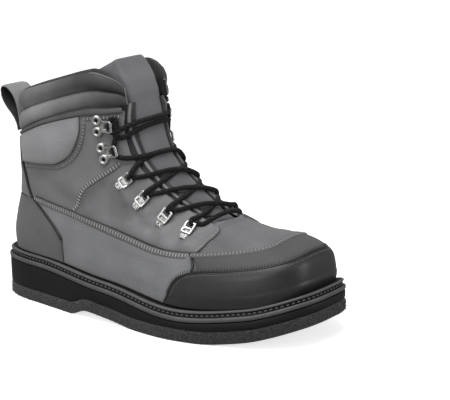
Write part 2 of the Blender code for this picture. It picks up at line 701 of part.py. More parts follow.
def joined(name, pieces):
    """One mesh from several overlapping solids."""
    body = pieces[0]
    for piece in pieces[1:]:
        union = body.modifiers.new("join", 'BOOLEAN')
        union.operation = 'UNION'
        union.object = piece
    bpy.context.view_layer.update()
    evaluated = body.evaluated_get(bpy.context.evaluated_depsgraph_get())
    mesh = bpy.data.meshes.new_from_object(evaluated)
    mesh.name = name
    mesh.shade_smooth()
    mesh.set_sharp_from_angle(angle=math.radians(40))
    for piece in pieces:
        bpy.data.objects.remove(piece)
    return mesh


def rounded_loop(length, width, rear, height):
    """The centre line of a wire ring, with rounded front corners."""
    corner = 0.28 * width
    points = [Vector((rear, -width / 2, height))]
    for side in (-1, 1):
        centre = Vector((rear + length - corner, side * (width / 2 - corner), height))
        angles = (-90, -45, 0) if side < 0 else (0, 45, 90)
        for angle in angles:
            turn = math.radians(angle)
            points.append(centre + Vector((math.cos(turn), math.sin(turn), 0)) * corner)
    points.append(Vector((rear, width / 2, height)))
    return points


def ring_mesh():
    """A wire ring held by the rolled front edge of a riveted plate."""
    height = PLATE_THICKNESS + 0.55 * RING_WIRE
    plate = box("plate", (-RING_PLATE_LENGTH, -RING_PLATE_WIDTH / 2, 0),
                (0.2 * RING_WIRE, RING_PLATE_WIDTH / 2, PLATE_THICKNESS))
    barrel = wire("barrel", [(0, -0.42 * RING_PLATE_WIDTH, height), (0, 0.42 * RING_PLATE_WIDTH, height)],
                  0.95 * RING_WIRE)
    circuit = rounded_loop(RING_LENGTH, RING_WIDTH, 0.0, height + 0.12 * RING_WIRE)
    ring = wire("ring", circuit, RING_WIRE / 2, cyclic=True)
    rivets = [disc("rivet", (-0.78 * RING_PLATE_LENGTH, side * 0.24 * RING_PLATE_WIDTH), RIVET_RADIUS,
                   0.5 * PLATE_THICKNESS, 1.9 * PLATE_THICKNESS, 6, 0.6) for side in (-1, 1)]
    return joined("lace_ring", [plate, barrel, ring] + rivets)


def hook_mesh():
    """Two riveted ears and a bent loop that stands away from the upper."""
    plate = box("plate", (-0.8 * HOOK_EAR_RADIUS, -HOOK_EAR_SPREAD / 2, 0),
                (0.9 * HOOK_EAR_RADIUS, HOOK_EAR_SPREAD / 2, PLATE_THICKNESS))
    pieces = [plate]
    for side in (-1, 1):
        centre = (-0.5 * HOOK_EAR_RADIUS, side * HOOK_EAR_SPREAD / 2)
        pieces.append(disc("ear", centre, HOOK_EAR_RADIUS, 0.1 * PLATE_THICKNESS, 1.15 * PLATE_THICKNESS, 10))
        pieces.append(disc("rivet", centre, 0.62 * HOOK_EAR_RADIUS, PLATE_THICKNESS, 2.3 * PLATE_THICKNESS,
                           6, 0.55))
    points = rounded_loop(HOOK_LOOP_LENGTH, HOOK_LOOP_WIDTH, 0.0, 0.0)
    tilt = Matrix.Translation((0.4 * HOOK_EAR_RADIUS, 0, 0.9 * PLATE_THICKNESS))
    tilt = tilt @ Matrix.Rotation(-HOOK_TILT, 4, 'Y')
    pieces.append(wire("loop", [tilt @ point for point in points], RING_WIRE / 2, cyclic=True))
    return joined("lace_hook", pieces)


def build_hardware():
    overlay = OVERLAY_CLEARANCE + OVERLAY_THICKNESS
    ring = ring_mesh()
    hook = hook_mesh()
    for side, side_name in ((1, "outer"), (-1, "inner")):
        for i, (level, turn) in enumerate(RING_PLACES):
            thing = new_object(f"lace_ring_{side_name}_{i + 1}", ring, STEEL)
            thing.matrix_world = frame_at(level, side * turn, RING_LEAN[i], overlay + RING_LIFT[i])
        for i, (level, turn) in enumerate(HOOK_PLACES):
            thing = new_object(f"lace_hook_{side_name}_{i + 1}", hook, STEEL)
            thing.matrix_world = frame_at(level, side * turn, HOOK_LEAN[i], FACET_CLEARANCE)


def strand(start, end, count=8):
    """Lace points over the tongue, from a place on one side to a place on the other."""
    over = FACET_CLEARANCE * 2 + OVERLAY_THICKNESS + LACE_DIAMETER / 2
    points = []
    for step in range(count):
        share = step / (count - 1)
        level = mix(start[0], end[0], share)
        turn = wrapped(mix(start[1], 2 - end[1], share))
        sag = 0.35 * over * math.sin(math.pi * share)
        points.append(skin(level, turn, over + 0.25 * LACE_DIAMETER - sag))
    return points


def build_laces():
    """The lace's runs between the rings and hooks: a bar at the foot, then crossings."""
    ends = [(level + 0.75 * lean, turn + 0.052) for (level, turn), lean in zip(RING_PLACES, RING_LEAN)]
    ends += [(level, turn + 0.054) for level, turn in HOOK_PLACES]
    radius = LACE_DIAMETER / 2
    foot = (ends[0][0] - 0.1, ends[0][1])
    bar = joined("lace_bar_foot", [wire("bar", strand(foot, foot), radius)])
    new_object("lace_bar_foot", bar, LACE)
    for i, (low, high) in enumerate(zip(ends, ends[1:])):
        apart = 0.30 if i == 0 else 0.24
        low_end = (low[0] + apart, low[1] + 0.014)
        high_end = (high[0] - apart, high[1] + 0.010)
        runs = [wire("run", strand(low_end, high_end), radius), wire("run", strand(high_end, low_end), radius)]
        name = f"lace_cross_{i + 1}"
        new_object(name, joined(name, runs), LACE)
    top = joined("lace_bar_top", [wire("bar", strand(ends[-1], ends[-1]), radius)])
    new_object("lace_bar_top", top, LACE)


for old in list(bpy.data.objects):
    bpy.data.objects.remove(old, do_unlink=True)
PARTS = bpy.data.collections.new("wading_boot")
CUTTERS = bpy.data.collections.new("cutters")
for group in (PARTS, CUTTERS):
    bpy.context.scene.collection.children.link(group)

FELT = material("felt", (0.045, 0.045, 0.047), 0.98)
BLACK_RUBBER = material("black_rubber", (0.012, 0.012, 0.013), 0.55)
GREY_RUBBER = material("grey_rubber", (0.12, 0.12, 0.125), 0.60)
LINING = material("lining", (0.03, 0.03, 0.032), 0.95)
GREY_LEATHER = material("grey_leather", (0.17, 0.17, 0.18), 0.70)
DARK_LEATHER = material("dark_leather", (0.09, 0.09, 0.093), 0.62)
BLACK_LEATHER = material("black_leather", (0.025, 0.025, 0.027), 0.55)
PADDED = material("padded_leather", (0.05, 0.05, 0.052), 0.65)
TONGUE_LEATHER = material("tongue_leather", (0.13, 0.13, 0.14), 0.80)
WEBBING = material("webbing", (0.02, 0.02, 0.02), 0.90)
LACE = material("lace", (0.02, 0.02, 0.021), 0.92)
STEEL = material("steel", (0.60, 0.59, 0.57), 0.25, 1.0)

build_felt()
build_midsole()
build_welt()
build_insole()
build_upper()
build_toe_cap()
build_heel_counter()
build_eyestay("eyestay_outer", 1)
build_eyestay("eyestay_inner", -1)
build_binding()
build_collar()
build_tongue()
build_pull_loop()
build_hardware()
build_laces()
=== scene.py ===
"""A felt-soled wading boot for the right foot: leather panels, seams, padding, hardware and lace."""
import math

import bmesh
import bpy
import numpy as np
from bpy.props import FloatProperty, FloatVectorProperty, IntProperty, PointerProperty
from mathutils import Matrix, Vector, noise


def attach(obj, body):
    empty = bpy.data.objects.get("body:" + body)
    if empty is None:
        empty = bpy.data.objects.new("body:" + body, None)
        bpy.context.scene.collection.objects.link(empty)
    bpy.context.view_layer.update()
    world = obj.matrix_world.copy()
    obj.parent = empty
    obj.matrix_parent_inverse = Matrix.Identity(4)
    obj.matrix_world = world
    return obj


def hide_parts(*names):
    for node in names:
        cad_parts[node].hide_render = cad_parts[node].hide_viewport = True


bl_info = {
    "name": "Wading boot",
    "version": (1, 0, 0),
    "blender": (4, 5, 0),
    "location": "3D View > Sidebar > Boot",
    "description": "Builds a felt-soled wading boot, one group of pieces at a time",
    "category": "Add Mesh",
}

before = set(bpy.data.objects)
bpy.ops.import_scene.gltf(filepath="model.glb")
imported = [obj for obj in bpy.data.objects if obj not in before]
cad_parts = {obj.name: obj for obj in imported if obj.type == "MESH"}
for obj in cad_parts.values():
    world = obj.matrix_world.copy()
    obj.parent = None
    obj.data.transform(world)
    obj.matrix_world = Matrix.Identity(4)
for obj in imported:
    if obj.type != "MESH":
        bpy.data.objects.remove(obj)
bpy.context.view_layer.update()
MM = 0.001

# Sole, in metres. The toe points along +X, the outer side of the foot faces -Y.
SOLE_LENGTH = 0.318
HEEL_REST_FROM_BACK = 0.042
HEEL_WIDTH = 0.091
WAIST_WIDTH = 0.090
BALL_WIDTH = 0.123
TOE_WIDTH = 0.119
WAIST_SWAY = 0.009
TOE_SWAY = 0.006
HEEL_ROUNDNESS = 3.6
TOE_ROUNDNESS = 3.1
HEEL_STACK = 0.0418
BALL_STACK = 0.0257
TOE_STACK = 0.0455
TOE_SPRING = 0.0190
ARCH_RISE = 0.0058
FELT_THICKNESS = 0.0100
WELT_THICKNESS = 0.0090
INSOLE_THICKNESS = 0.0060

# Upper
UPPER_RISE = 0.171
UPPER_WALL = 0.0024
HEEL_BODY_WIDTH = 0.085
SHAFT_WIDTH = 0.082
BALL_BODY_WIDTH = 0.111
TOE_BODY_WIDTH = 0.114
BODY_WAIST_SWAY = 0.008
BODY_TOE_SWAY = 0.006
SEAT = 0.0005
PANEL_LIFT = 0.0005

# One row for each level of the upper, from the sole's edge to the collar's top.
LEVEL_COLUMNS = ("back_x", "back_rise", "front_x", "front_rise", "heel", "shaft", "ball", "toe",
                 "sway", "round_back", "round_front", "fall")
LEVELS = (
    (0.038, 0.000, 0.953, 0.000, 0.93, 0.95, 0.99, 0.98, 1.00, 4.2, 3.2, 1.00),
    (0.031, 0.058, 0.966, 0.058, 0.93, 0.95, 0.99, 1.00, 1.00, 4.0, 3.2, 1.00),
    (0.027, 0.117, 0.963, 0.125, 0.92, 0.95, 0.96, 0.97, 0.90, 3.6, 3.2, 0.90),
    (0.028, 0.175, 0.938, 0.180, 0.90, 0.94, 0.90, 0.86, 0.78, 3.2, 3.0, 0.70),
    (0.031, 0.227, 0.884, 0.217, 0.87, 0.93, 0.81, 0.70, 0.65, 2.9, 2.8, 0.50),
    (0.035, 0.273, 0.805, 0.236, 0.85, 0.93, 0.72, 0.60, 0.50, 2.7, 2.6, 0.30),
    (0.038, 0.319, 0.723, 0.272, 0.85, 0.93, 0.67, 0.56, 0.35, 2.6, 2.5, 0.15),
    (0.041, 0.371, 0.638, 0.356, 0.85, 0.93, 0.67, 0.58, 0.20, 2.5, 2.4, 0.05),
    (0.042, 0.424, 0.560, 0.463, 0.87, 0.95, 0.69, 0.61, 0.05, 2.4, 2.4, 0.00),
    (0.045, 0.471, 0.506, 0.574, 0.87, 0.98, 0.72, 0.67, 0.00, 2.4, 2.6, 0.00),
    (0.049, 0.518, 0.481, 0.685, 0.89, 1.00, 0.74, 0.70, 0.00, 2.4, 2.9, 0.00),
    (0.053, 0.564, 0.472, 0.778, 0.89, 1.00, 0.74, 0.72, 0.00, 2.4, 3.2, 0.00),
    (0.061, 0.640, 0.465, 0.854, 0.89, 1.00, 0.74, 0.72, 0.00, 2.4, 3.3, 0.00),
    (0.064, 0.716, 0.459, 0.925, 0.89, 1.00, 0.74, 0.72, 0.00, 2.4, 3.3, 0.00),
    (0.066, 0.792, 0.453, 1.000, 0.89, 1.00, 0.74, 0.72, 0.00, 2.4, 3.3, 0.00),
)
WIDTH_STATIONS = (0.10, 0.42, 0.72, 0.92)

# Edges on the upper, as (turn, level) or (level, turn) pairs. A turn runs from 0 at the middle of
# the back to 1 at the middle of the front, positive on the outer side.
THROAT_EDGE = ((0.0, 0.856), (6.0, 0.856), (6.5, 0.836), (7.0, 0.812), (8.1, 0.800), (8.6, 0.803),
               (9.5, 0.820), (10.4, 0.839), (11.1, 0.858), (12.0, 0.880), (14.0, 0.900))
THROAT_FOOT = 6.0
COLLAR_FOOT = ((0.00, 11.20), (0.20, 11.33), (0.43, 11.67), (0.56, 11.73), (0.65, 11.67),
               (0.78, 11.33), (0.90, 11.15))
COLLAR_TOP = ((0.00, 14.00), (0.60, 14.00), (0.70, 13.95), (0.79, 13.45), (0.86, 12.75), (0.89, 12.20))
COLLAR_END = 0.880
COLLAR_FULLNESS = ((0.0, 1.0), (0.74, 1.0), (0.852, 0.72), (0.872, 0.55), (COLLAR_END, 0.30))
LOOP_WIDTH = 0.026
LOOP_REACH = 0.0295
LOOP_DROP = 0.0355
LOOP_BEND = ((-0.26, -0.89), (-0.28, -0.70), (-0.33, -0.45), (-0.42, -0.25), (-0.56, -0.09), (-0.75, 0.01),
             (-0.865, 0.01), (-0.925, -0.07), (-0.915, -0.19), (-0.84, -0.34), (-0.69, -0.50),
             (-0.54, -0.625), (-0.415, -0.765), (-0.34, -0.92), (-0.32, -1.02))
BINDING_FOOT = ((0.00, 10.90), (0.20, 11.02), (0.47, 11.36), (0.61, 11.28), (0.76, 11.00), (0.90, 10.80))
TOE_CAP_START = 0.594
TOE_CAP_TOP = ((0.594, 0.30), (0.600, 1.00), (0.611, 1.67), (0.630, 2.20), (0.650, 2.42), (0.690, 2.53),
               (0.890, 2.55), (1.000, 2.72))
COUNTER_END = 0.332
COUNTER_TOP = ((0.00, 4.80), (0.15, 4.90), (0.235, 5.05), (0.262, 4.35), (0.286, 3.60), (0.322, 2.40),
               (0.332, 1.90))
RING_PANEL_REAR = ((3.30, 0.610), (3.60, 0.522), (4.40, 0.460), (5.03, 0.408), (5.74, 0.438), (6.46, 0.470),
                   (7.18, 0.520), (7.54, 0.566), (8.02, 0.645), (8.50, 0.735))
RING_PANEL_TOP = 8.5
RING_PANEL_FRONT = ((3.30, 0.655), (3.53, 0.675), (4.47, 0.739), (4.87, 0.778), (5.73, 0.850),
                    (6.00, 0.850), (6.50, 0.832), (7.00, 0.808), (8.10, 0.797), (8.50, 0.799))
LOWER_SEAM = ((0.240, 5.45), (0.280, 5.38), (0.408, 5.06), (0.464, 4.66), (0.524, 4.08), (0.556, 3.82),
              (0.596, 3.60), (0.636, 3.58), (0.666, 3.60))
TOE_SEAM = ((0.666, 3.60), (0.728, 3.63), (0.808, 3.69), (0.881, 3.76), (0.960, 3.98), (1.0, 4.02))
ANKLE_FOOT = ((0.205, 8.35), (0.258, 8.40), (0.422, 8.47), (0.494, 8.80), (0.558, 9.40), (0.606, 10.33),
              (0.619, 11.20))
BACK_STRIP_EDGE = ((5.02, 0.222), (6.5, 0.205), (8.3, 0.190), (10.9, 0.180))
TONGUE_FOOT = 5.25
TONGUE_TOP = 14.12
TONGUE_THICKNESS = 0.0080
TONGUE_EDGE = 0.0022
VAMP_ROWS = 60
SHAFT_ROWS = 74
SHAFT_TOP = 11.2
TONGUE_CORNER = (0.35, 0.95)  # on the outer and the inner side
TONGUE_CORNER_FOOT = 11.4
TONGUE_LEAN = 0.0135
TONGUE_SIDE = ((5.25, 0.860), (6.0, 0.800), (7.0, 0.750), (8.1, 0.735), (9.5, 0.760), (11.0, 0.775),
               (12.3, 0.745), (13.2, 0.690), (14.3, 0.640))
RING_PLACES = ((5.30, 0.728), (6.18, 0.713), (6.98, 0.696), (7.80, 0.698))
RING_LEAN = (0.44, 0.32, 0.265, 0.20)
HOOK_PLACES = ((9.10, 0.694), (10.45, 0.711))
HOOK_LEAN = (0.05, -0.10)

# Soft forms pressed into or out of the leather: a path of (level, turn), its half width and its
# height in millimetres. A negative height is a crease.
CREASES = (
    (((7.3, 0.655), (6.9, 0.640)), 5.0, 0.9),
    (((6.3, 0.660), (5.9, 0.640)), 5.5, 1.0),
    (((5.4, 0.660), (5.0, 0.642)), 5.5, 1.0),
    (((4.5, 0.690), (4.2, 0.670)), 5.5, 0.9),
    (((7.1, 0.700), (6.6, 0.665), (6.1, 0.630)), 4.0, -0.7),
    (((6.2, 0.700), (5.6, 0.668), (5.1, 0.620)), 4.0, -0.8),
    (((5.3, 0.715), (4.8, 0.690), (4.3, 0.650)), 4.0, -0.7),
    (((9.9, 0.640), (9.0, 0.560), (8.2, 0.440), (7.6, 0.300)), 9.0, -1.1),
    (((8.6, 0.700), (7.9, 0.600), (7.0, 0.480)), 7.0, 0.8),
    (((7.2, 0.330), (6.5, 0.380), (5.9, 0.420)), 8.0, -0.8),
    (((2.2, 0.470), (2.6, 0.540), (2.7, 0.600)), 9.0, -0.5),
    (((4.9, 0.940), (4.6, 0.860), (4.3, 0.780)), 5.0, -0.35),
    (((4.2, 1.000), (4.3, 0.930), (4.1, 0.850)), 8.0, 0.5),
)

# The photograph's viewpoint
CAMERA_PLACE = Vector((0.9089, -0.984, 0.3955))
CAMERA_RIGHT = Vector((0.8065, 0.5907, -0.0241))
CAMERA_BACK = Vector((0.5792, -0.7813, 0.2327))
CAMERA_LENS = 126.55


# Sizes and colours that a user would change
def distance(name, description, default, low, high):
    return FloatProperty(name=name, description=description, default=default, min=low, max=high,
                         subtype='DISTANCE')


def power(name, description, default):
    return FloatProperty(name=name, description=description, default=default, min=0.0, max=400.0,
                         unit='POWER')


def glow(name, description, default):
    return FloatProperty(name=name, description=description, default=default, min=0.0, max=5.0)


class BootSizes(bpy.types.PropertyGroup):
    """Sizes of the leather work, the seams and the felt."""
    panel: distance("Panel", "Thickness of a leather panel", 0.0013, 0.0004, 0.003)
    rounding: distance("Edge rounding", "Width of a panel's rounded edge", 0.0012, 0.0002, 0.004)
    crease: FloatProperty(name="Creases", description="Share of the full crease depth", default=1.6,
                          min=0.0, max=3.0, subtype='FACTOR')
    stitch_gap: distance("Stitch spacing", "Distance between two stitches", 0.0024, 0.001, 0.006)
    stitch_width: distance("Thread", "Thickness of the sewing thread", 0.0008, 0.0003, 0.002)
    piping: distance("Piping", "Radius of the piping along the toe cap and the back", 0.00105, 0.0003, 0.003)
    lace: distance("Lace", "Diameter of the round lace", 0.0040, 0.002, 0.008)
    fuzz: distance("Felt roughness", "How far the felt's side stands in and out", 0.00035, 0.0, 0.002)
    fibres: IntProperty(name="Felt fibres", description="Loose fibres on the felt's side", default=7000,
                        min=0, max=40000)


def colour_setting(name, red, green, blue):
    return FloatVectorProperty(name=name, description=f"{name} colour", size=3, subtype='COLOR', min=0.0,
                               max=1.0, default=(red, green, blue))


class BootColours(bpy.types.PropertyGroup):
    """Colours of the finishes."""
    quarter: colour_setting("Quarter leather", 0.174, 0.174, 0.177)
    side: colour_setting("Side leather", 0.195, 0.197, 0.203)
    vamp: colour_setting("Vamp leather", 0.148, 0.149, 0.155)
    ankle: colour_setting("Ankle leather", 0.292, 0.292, 0.301)
    ring_panel: colour_setting("Ring panel leather", 0.158, 0.158, 0.163)
    counter: colour_setting("Counter leather", 0.115, 0.115, 0.116)
    toe: colour_setting("Toe cap", 0.021, 0.021, 0.022)
    collar: colour_setting("Collar leather", 0.255, 0.255, 0.257)
    tongue: colour_setting("Tongue leather", 0.148, 0.147, 0.157)
    lining: colour_setting("Lining", 0.010, 0.010, 0.011)
    rubber: colour_setting("Black rubber", 0.0095, 0.0095, 0.010)
    welt: colour_setting("Grey welt", 0.092, 0.092, 0.095)
    felt: colour_setting("Felt", 0.050, 0.050, 0.052)
    lace: colour_setting("Lace", 0.0095, 0.0095, 0.0105)
    thread: colour_setting("Light thread", 0.400, 0.400, 0.405)
    dark_thread: colour_setting("Dark thread", 0.035, 0.035, 0.036)
    steel: colour_setting("Plated steel", 0.540, 0.535, 0.525)


class BootStudio(bpy.types.PropertyGroup):
    """Light and floor."""
    key: power("Key light", "Power of the large light above", 20.0)
    side: power("Side light", "Power of the light on the toe's side", 5.0)
    front: power("Front light", "Power of the soft light beside the camera", 10.0)
    world: glow("Room light", "Strength of the light from all around", 0.30)
    glow: glow("Floor glow", "Light that keeps the floor plain white", 0.70)


def sizes_now():
    return bpy.context.scene.boot_sizes


# Curves and the boot's surface
def through(places, values, place):
    """A smooth line through a few values, which may be arrays, and which never swings past them."""
    place = np.asarray(place, float)
    places = np.asarray(places, float)
    values = np.stack([np.broadcast_to(np.asarray(value, float), place.shape) for value in values])
    steps = np.diff(places).reshape((-1,) + (1,) * place.ndim)
    rates = np.diff(values, axis=0) / steps
    total = rates[:-1] + rates[1:]
    same_way = rates[:-1] * rates[1:] > 0
    inner = np.where(same_way, 2 * rates[:-1] * rates[1:] / np.where(total == 0, 1, total), 0)
    slopes = np.concatenate([rates[:1], inner, rates[-1:]])
    held = np.clip(place, places[0], places[-1])
    i = np.clip(np.searchsorted(places, held, side="right") - 1, 0, len(places) - 2)
    step = np.diff(places)[i]
    u = (held - places[i]) / step

    def pick(table, row):
        return np.take_along_axis(table, row[None], 0)[0]

    low, high = pick(values, i), pick(values, i + 1)
    low_slope, high_slope = pick(slopes, i), pick(slopes, i + 1)
    return ((2 * u ** 3 - 3 * u ** 2 + 1) * low + (u ** 3 - 2 * u ** 2 + u) * step * low_slope
            + (3 * u ** 2 - 2 * u ** 3) * high + (u ** 3 - u ** 2) * step * high_slope)


class Curve:
    """A smooth line through (place, value) pairs. Past its end it holds, or goes on straight."""

    def __init__(self, points, goes_on=False):
        self.places = [point[0] for point in points]
        self.values = [point[1] for point in points]
        self.goes_on = goes_on

    def __call__(self, place):
        place = np.asarray(place, float)
        line = through(self.places, self.values, place)
        if self.goes_on:
            rate = (self.values[-1] - self.values[-2]) / (self.places[-1] - self.places[-2])
            line = line + rate * np.maximum(place - self.places[-1], 0)
        return line


def mix(a, b, share):
    return a + (b - a) * share


def wrapped(turn):
    """The same place on a loop as a turn between -1 and 1."""
    return (np.asarray(turn, float) + 1) % 2 - 1


def length_share(turn):
    return (1 - np.cos(np.pi * np.asarray(turn, float))) / 2


def bow(share, back, front):
    power = mix(back, front, share)
    return np.maximum(0.0, 1 - np.abs(2 * share - 1) ** power) ** (1 / power)


def spots(x, y, z):
    return np.stack(np.broadcast_arrays(x, y, z), axis=-1)


LEVEL = {name: Curve([(row, values[i]) for row, values in enumerate(LEVELS)], goes_on=True)
         for i, name in enumerate(LEVEL_COLUMNS)}
sole_half = Curve(((0.0, HEEL_WIDTH / 2), (0.14, HEEL_WIDTH / 2), (0.41, WAIST_WIDTH / 2),
                   (0.68, BALL_WIDTH / 2), (0.87, TOE_WIDTH / 2), (1.0, TOE_WIDTH / 2)))
sole_sway = Curve(((0.0, 0.0), (0.14, 0.0), (0.41, -WAIST_SWAY), (0.68, 0.0), (0.87, 0.7 * TOE_SWAY),
                   (1.0, TOE_SWAY)))
floor_line = Curve(((0.0, 0.0), (0.295, 0.0), (0.36, ARCH_RISE), (0.44, 0.55 * ARCH_RISE), (0.54, 0.0),
                    (0.72, 0.0), (0.84, 0.22 * TOE_SPRING), (1.0, TOE_SPRING)))
platform_line = Curve(((0.0, HEEL_STACK), (0.19, mix(HEEL_STACK, BALL_STACK, 0.04)),
                       (0.44, mix(HEEL_STACK, BALL_STACK, 0.5)), (0.68, BALL_STACK),
                       (0.85, mix(BALL_STACK, TOE_STACK, 0.3)), (1.0, TOE_STACK)))
throat_edge = Curve(THROAT_EDGE)
collar_foot = Curve(COLLAR_FOOT)
collar_top = Curve(COLLAR_TOP)
binding_foot = Curve(BINDING_FOOT)
toe_cap_top = Curve(TOE_CAP_TOP)
counter_top = Curve(COUNTER_TOP)
ring_panel_rear = Curve(RING_PANEL_REAR)
ring_panel_front = Curve(RING_PANEL_FRONT)
lower_seam = Curve(LOWER_SEAM)
toe_seam = Curve(TOE_SEAM)
ankle_foot = Curve(ANKLE_FOOT)
back_strip_edge = Curve(BACK_STRIP_EDGE)
tongue_side = Curve(TONGUE_SIDE)


def upper_x(level, share):
    return mix(LEVEL["back_x"](level), LEVEL["front_x"](level), share) * SOLE_LENGTH


def upper_point(level, turn):
    """A point of the upper's outer surface, before creases."""
    level, turn = np.broadcast_arrays(np.asarray(level, float), np.asarray(turn, float))
    share = length_share(turn)
    side = np.where(wrapped(turn) > 0, -1.0, 1.0)
    widths = (LEVEL["heel"](level) * HEEL_BODY_WIDTH / 2, LEVEL["shaft"](level) * SHAFT_WIDTH / 2,
              LEVEL["ball"](level) * BALL_BODY_WIDTH / 2, LEVEL["toe"](level) * TOE_BODY_WIDTH / 2)
    half = through(WIDTH_STATIONS, widths, share)
    sway = LEVEL["sway"](level)
    middle = -sway * BODY_WAIST_SWAY * np.exp(-((share - 0.42) / 0.18) ** 2)
    middle = middle + sway * BODY_TOE_SWAY * np.maximum(0.0, (share - 0.6) / 0.4) ** 1.5
    y = middle + side * half * bow(share, LEVEL["round_back"](level), LEVEL["round_front"](level))
    edge = platform_line(upper_x(0.0, share) / SOLE_LENGTH)
    back_edge = platform_line(upper_x(0.0, 0.0) / SOLE_LENGTH)
    front_edge = platform_line(upper_x(0.0, 1.0) / SOLE_LENGTH)
    base = mix(mix(back_edge, front_edge, share), edge, LEVEL["fall"](level))
    rise = mix(LEVEL["back_rise"](level), LEVEL["front_rise"](level), share) * UPPER_RISE
    return spots(upper_x(level, share) - HEEL_REST_FROM_BACK, y, base + rise + SEAT)


def unit(vectors):
    return vectors / np.maximum(np.linalg.norm(vectors, axis=-1, keepdims=True), 1e-12)


def upper_normal(level, turn):
    """The outward direction at a point of the upper."""
    level, turn = np.broadcast_arrays(np.asarray(level, float), np.asarray(turn, float))
    low = np.maximum(level - 0.06, 0)
    along = upper_point(level, turn + 0.004) - upper_point(level, turn - 0.004)
    upward = upper_point(level + 0.06, turn) - upper_point(low, turn)
    return unit(np.cross(along, upward))


def crease_lines():
    """Each crease on both sides of the boot: its points in space, half width and height."""
    lines = []
    for path, half_width, height in CREASES:
        for side in (1, -1):
            steps = np.linspace(0, len(path) - 1, 6 * (len(path) - 1) + 1)
            index = range(len(path))
            levels = Curve([(i, path[i][0]) for i in index])(steps)
            turns = Curve([(i, path[i][1]) for i in index])(steps)
            strength = height if side > 0 else 0.8 * height
            lines.append((upper_point(levels, side * turns), half_width * MM, strength * MM))
    return lines


CREASE_LINES = crease_lines()


def relief(points):
    """How far the creases lift the leather at each point."""
    flat = points.reshape(-1, 3)
    lift = np.zeros(len(flat))
    for line, half_width, height in CREASE_LINES:
        middle = line.mean(0)
        reach = np.linalg.norm(line - middle, axis=1).max() + 3 * half_width
        close = np.flatnonzero(((flat - middle) ** 2).sum(1) < reach ** 2)
        near = ((flat[close, None] - line[None]) ** 2).sum(2).min(1) if len(close) else np.zeros(0)
        lift[close] += height * np.exp(-near / half_width ** 2)
    return lift.reshape(points.shape[:-1]) * sizes_now().crease


def skin(level, turn, lift=0.0):
    """A point at some height over the creased leather, or inside it when negative."""
    points = upper_point(level, turn)
    height = np.asarray(lift, float) + relief(points)
    return points + upper_normal(level, turn) * height[..., None]


def sole_outline(inset, count=420):
    """The sole's outline from above, moved inwards by a distance."""
    turns = np.linspace(0, 2, count, endpoint=False)

    def outline(at):
        share = length_share(at)
        side = np.where(wrapped(at) > 0, -1.0, 1.0)
        y = sole_sway(share) + side * sole_half(share) * bow(share, HEEL_ROUNDNESS, TOE_ROUNDNESS)
        return np.stack([share * SOLE_LENGTH, y], axis=-1)

    return moved_in(outline, turns, inset)


def feather_outline(inset, count=420):
    """The line where the upper meets the sole, moved inwards by a distance."""
    turns = np.linspace(0, 2, count, endpoint=False)

    def outline(at):
        points = upper_point(0.0, at)
        return np.stack([points[..., 0] + HEEL_REST_FROM_BACK, points[..., 1]], axis=-1)

    return moved_in(outline, turns, inset)


def moved_in(outline, turns, inset):
    ahead = outline(turns + 0.003) - outline(turns - 0.003)
    inward = unit(np.stack([ahead[:, 1], -ahead[:, 0]], axis=-1))
    middle = np.array([SOLE_LENGTH / 2, 0.0])
    centre = outline(turns)
    inward *= np.where(((middle - centre) * inward).sum(1) < 0, -1.0, 1.0)[:, None]
    return centre + inward * np.asarray(inset).reshape(-1, 1)


def ring_of(outline, height_of):
    """A loop in space over an outline: its height comes from its place along the sole."""
    height = height_of(outline[:, 0] / SOLE_LENGTH)
    return spots(outline[:, 0] - HEEL_REST_FROM_BACK, outline[:, 1], height)


def over(line, height):
    """A line moved up by a height."""
    return lambda place: line(place) + height


# Mesh helpers
def end_caps(rings, sides):
    """The two end faces of a tube made of rings of points."""
    last = (rings - 1) * sides
    return [tuple(range(sides))[::-1], tuple(last + i for i in range(sides))]


def grid_faces(rows, columns, closed_columns=False, closed_rows=False, start=0):
    """Quads over a grid of points, row by row."""
    i = np.arange(rows if closed_rows else rows - 1)
    j = np.arange(columns if closed_columns else columns - 1)
    i, j = np.meshgrid(i, j, indexing="ij")
    below, right = (i + 1) % rows, (j + 1) % columns
    quads = np.stack([i * columns + j, i * columns + right, below * columns + right, below * columns + j], -1)
    return (quads.reshape(-1, 4) + start).tolist()


def new_piece(name, points, faces, finishes, slots=None, uv=None, edge=None, crisp=40):
    """A closed piece with its faces pointing out. uv and edge are given for each point."""
    mesh = bpy.data.meshes.new(name)
    mesh.from_pydata(np.asarray(points).reshape(-1, 3).tolist(), [], faces)
    for finish in finishes:
        mesh.materials.append(finish)
    if slots is not None:
        mesh.polygons.foreach_set("material_index", slots)
    corners = np.zeros(len(mesh.loops), np.int32)
    mesh.loops.foreach_get("vertex_index", corners)
    if uv is not None:
        layer = mesh.uv_layers.new(name="along")
        layer.data.foreach_set("uv", np.asarray(uv, np.float32).reshape(-1, 2)[corners].ravel())
    # edge darkens the finish: along cut edges, and as painted shade on the vamp, the collar, the tongue and
    # the gussets.
    if edge is not None:
        layer = mesh.attributes.new("edge", 'FLOAT', 'POINT')
        layer.data.foreach_set("value", np.asarray(edge, np.float32).ravel())
    face_outward(mesh)
    mesh.shade_smooth()
    mesh.set_sharp_from_angle(angle=math.radians(crisp))
    return linked(name, mesh)


def linked(name, data):
    """An object that holds some data, put into the scene."""
    thing = bpy.data.objects.new(name, data)
    bpy.context.scene.collection.objects.link(thing)
    return thing


def face_outward(mesh):
    shape = bmesh.new()
    shape.from_mesh(mesh)
    if shape.calc_volume(signed=True) < 0:
        bmesh.ops.reverse_faces(shape, faces=shape.faces)
        shape.to_mesh(mesh)
    shape.free()


def place_piece(piece, slot, *nodes):
    """Fixes a piece to the boot and hides the solids that it stands for. Its slot is not used."""
    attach(piece, "root")
    if nodes:
        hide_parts(*nodes)
    return piece


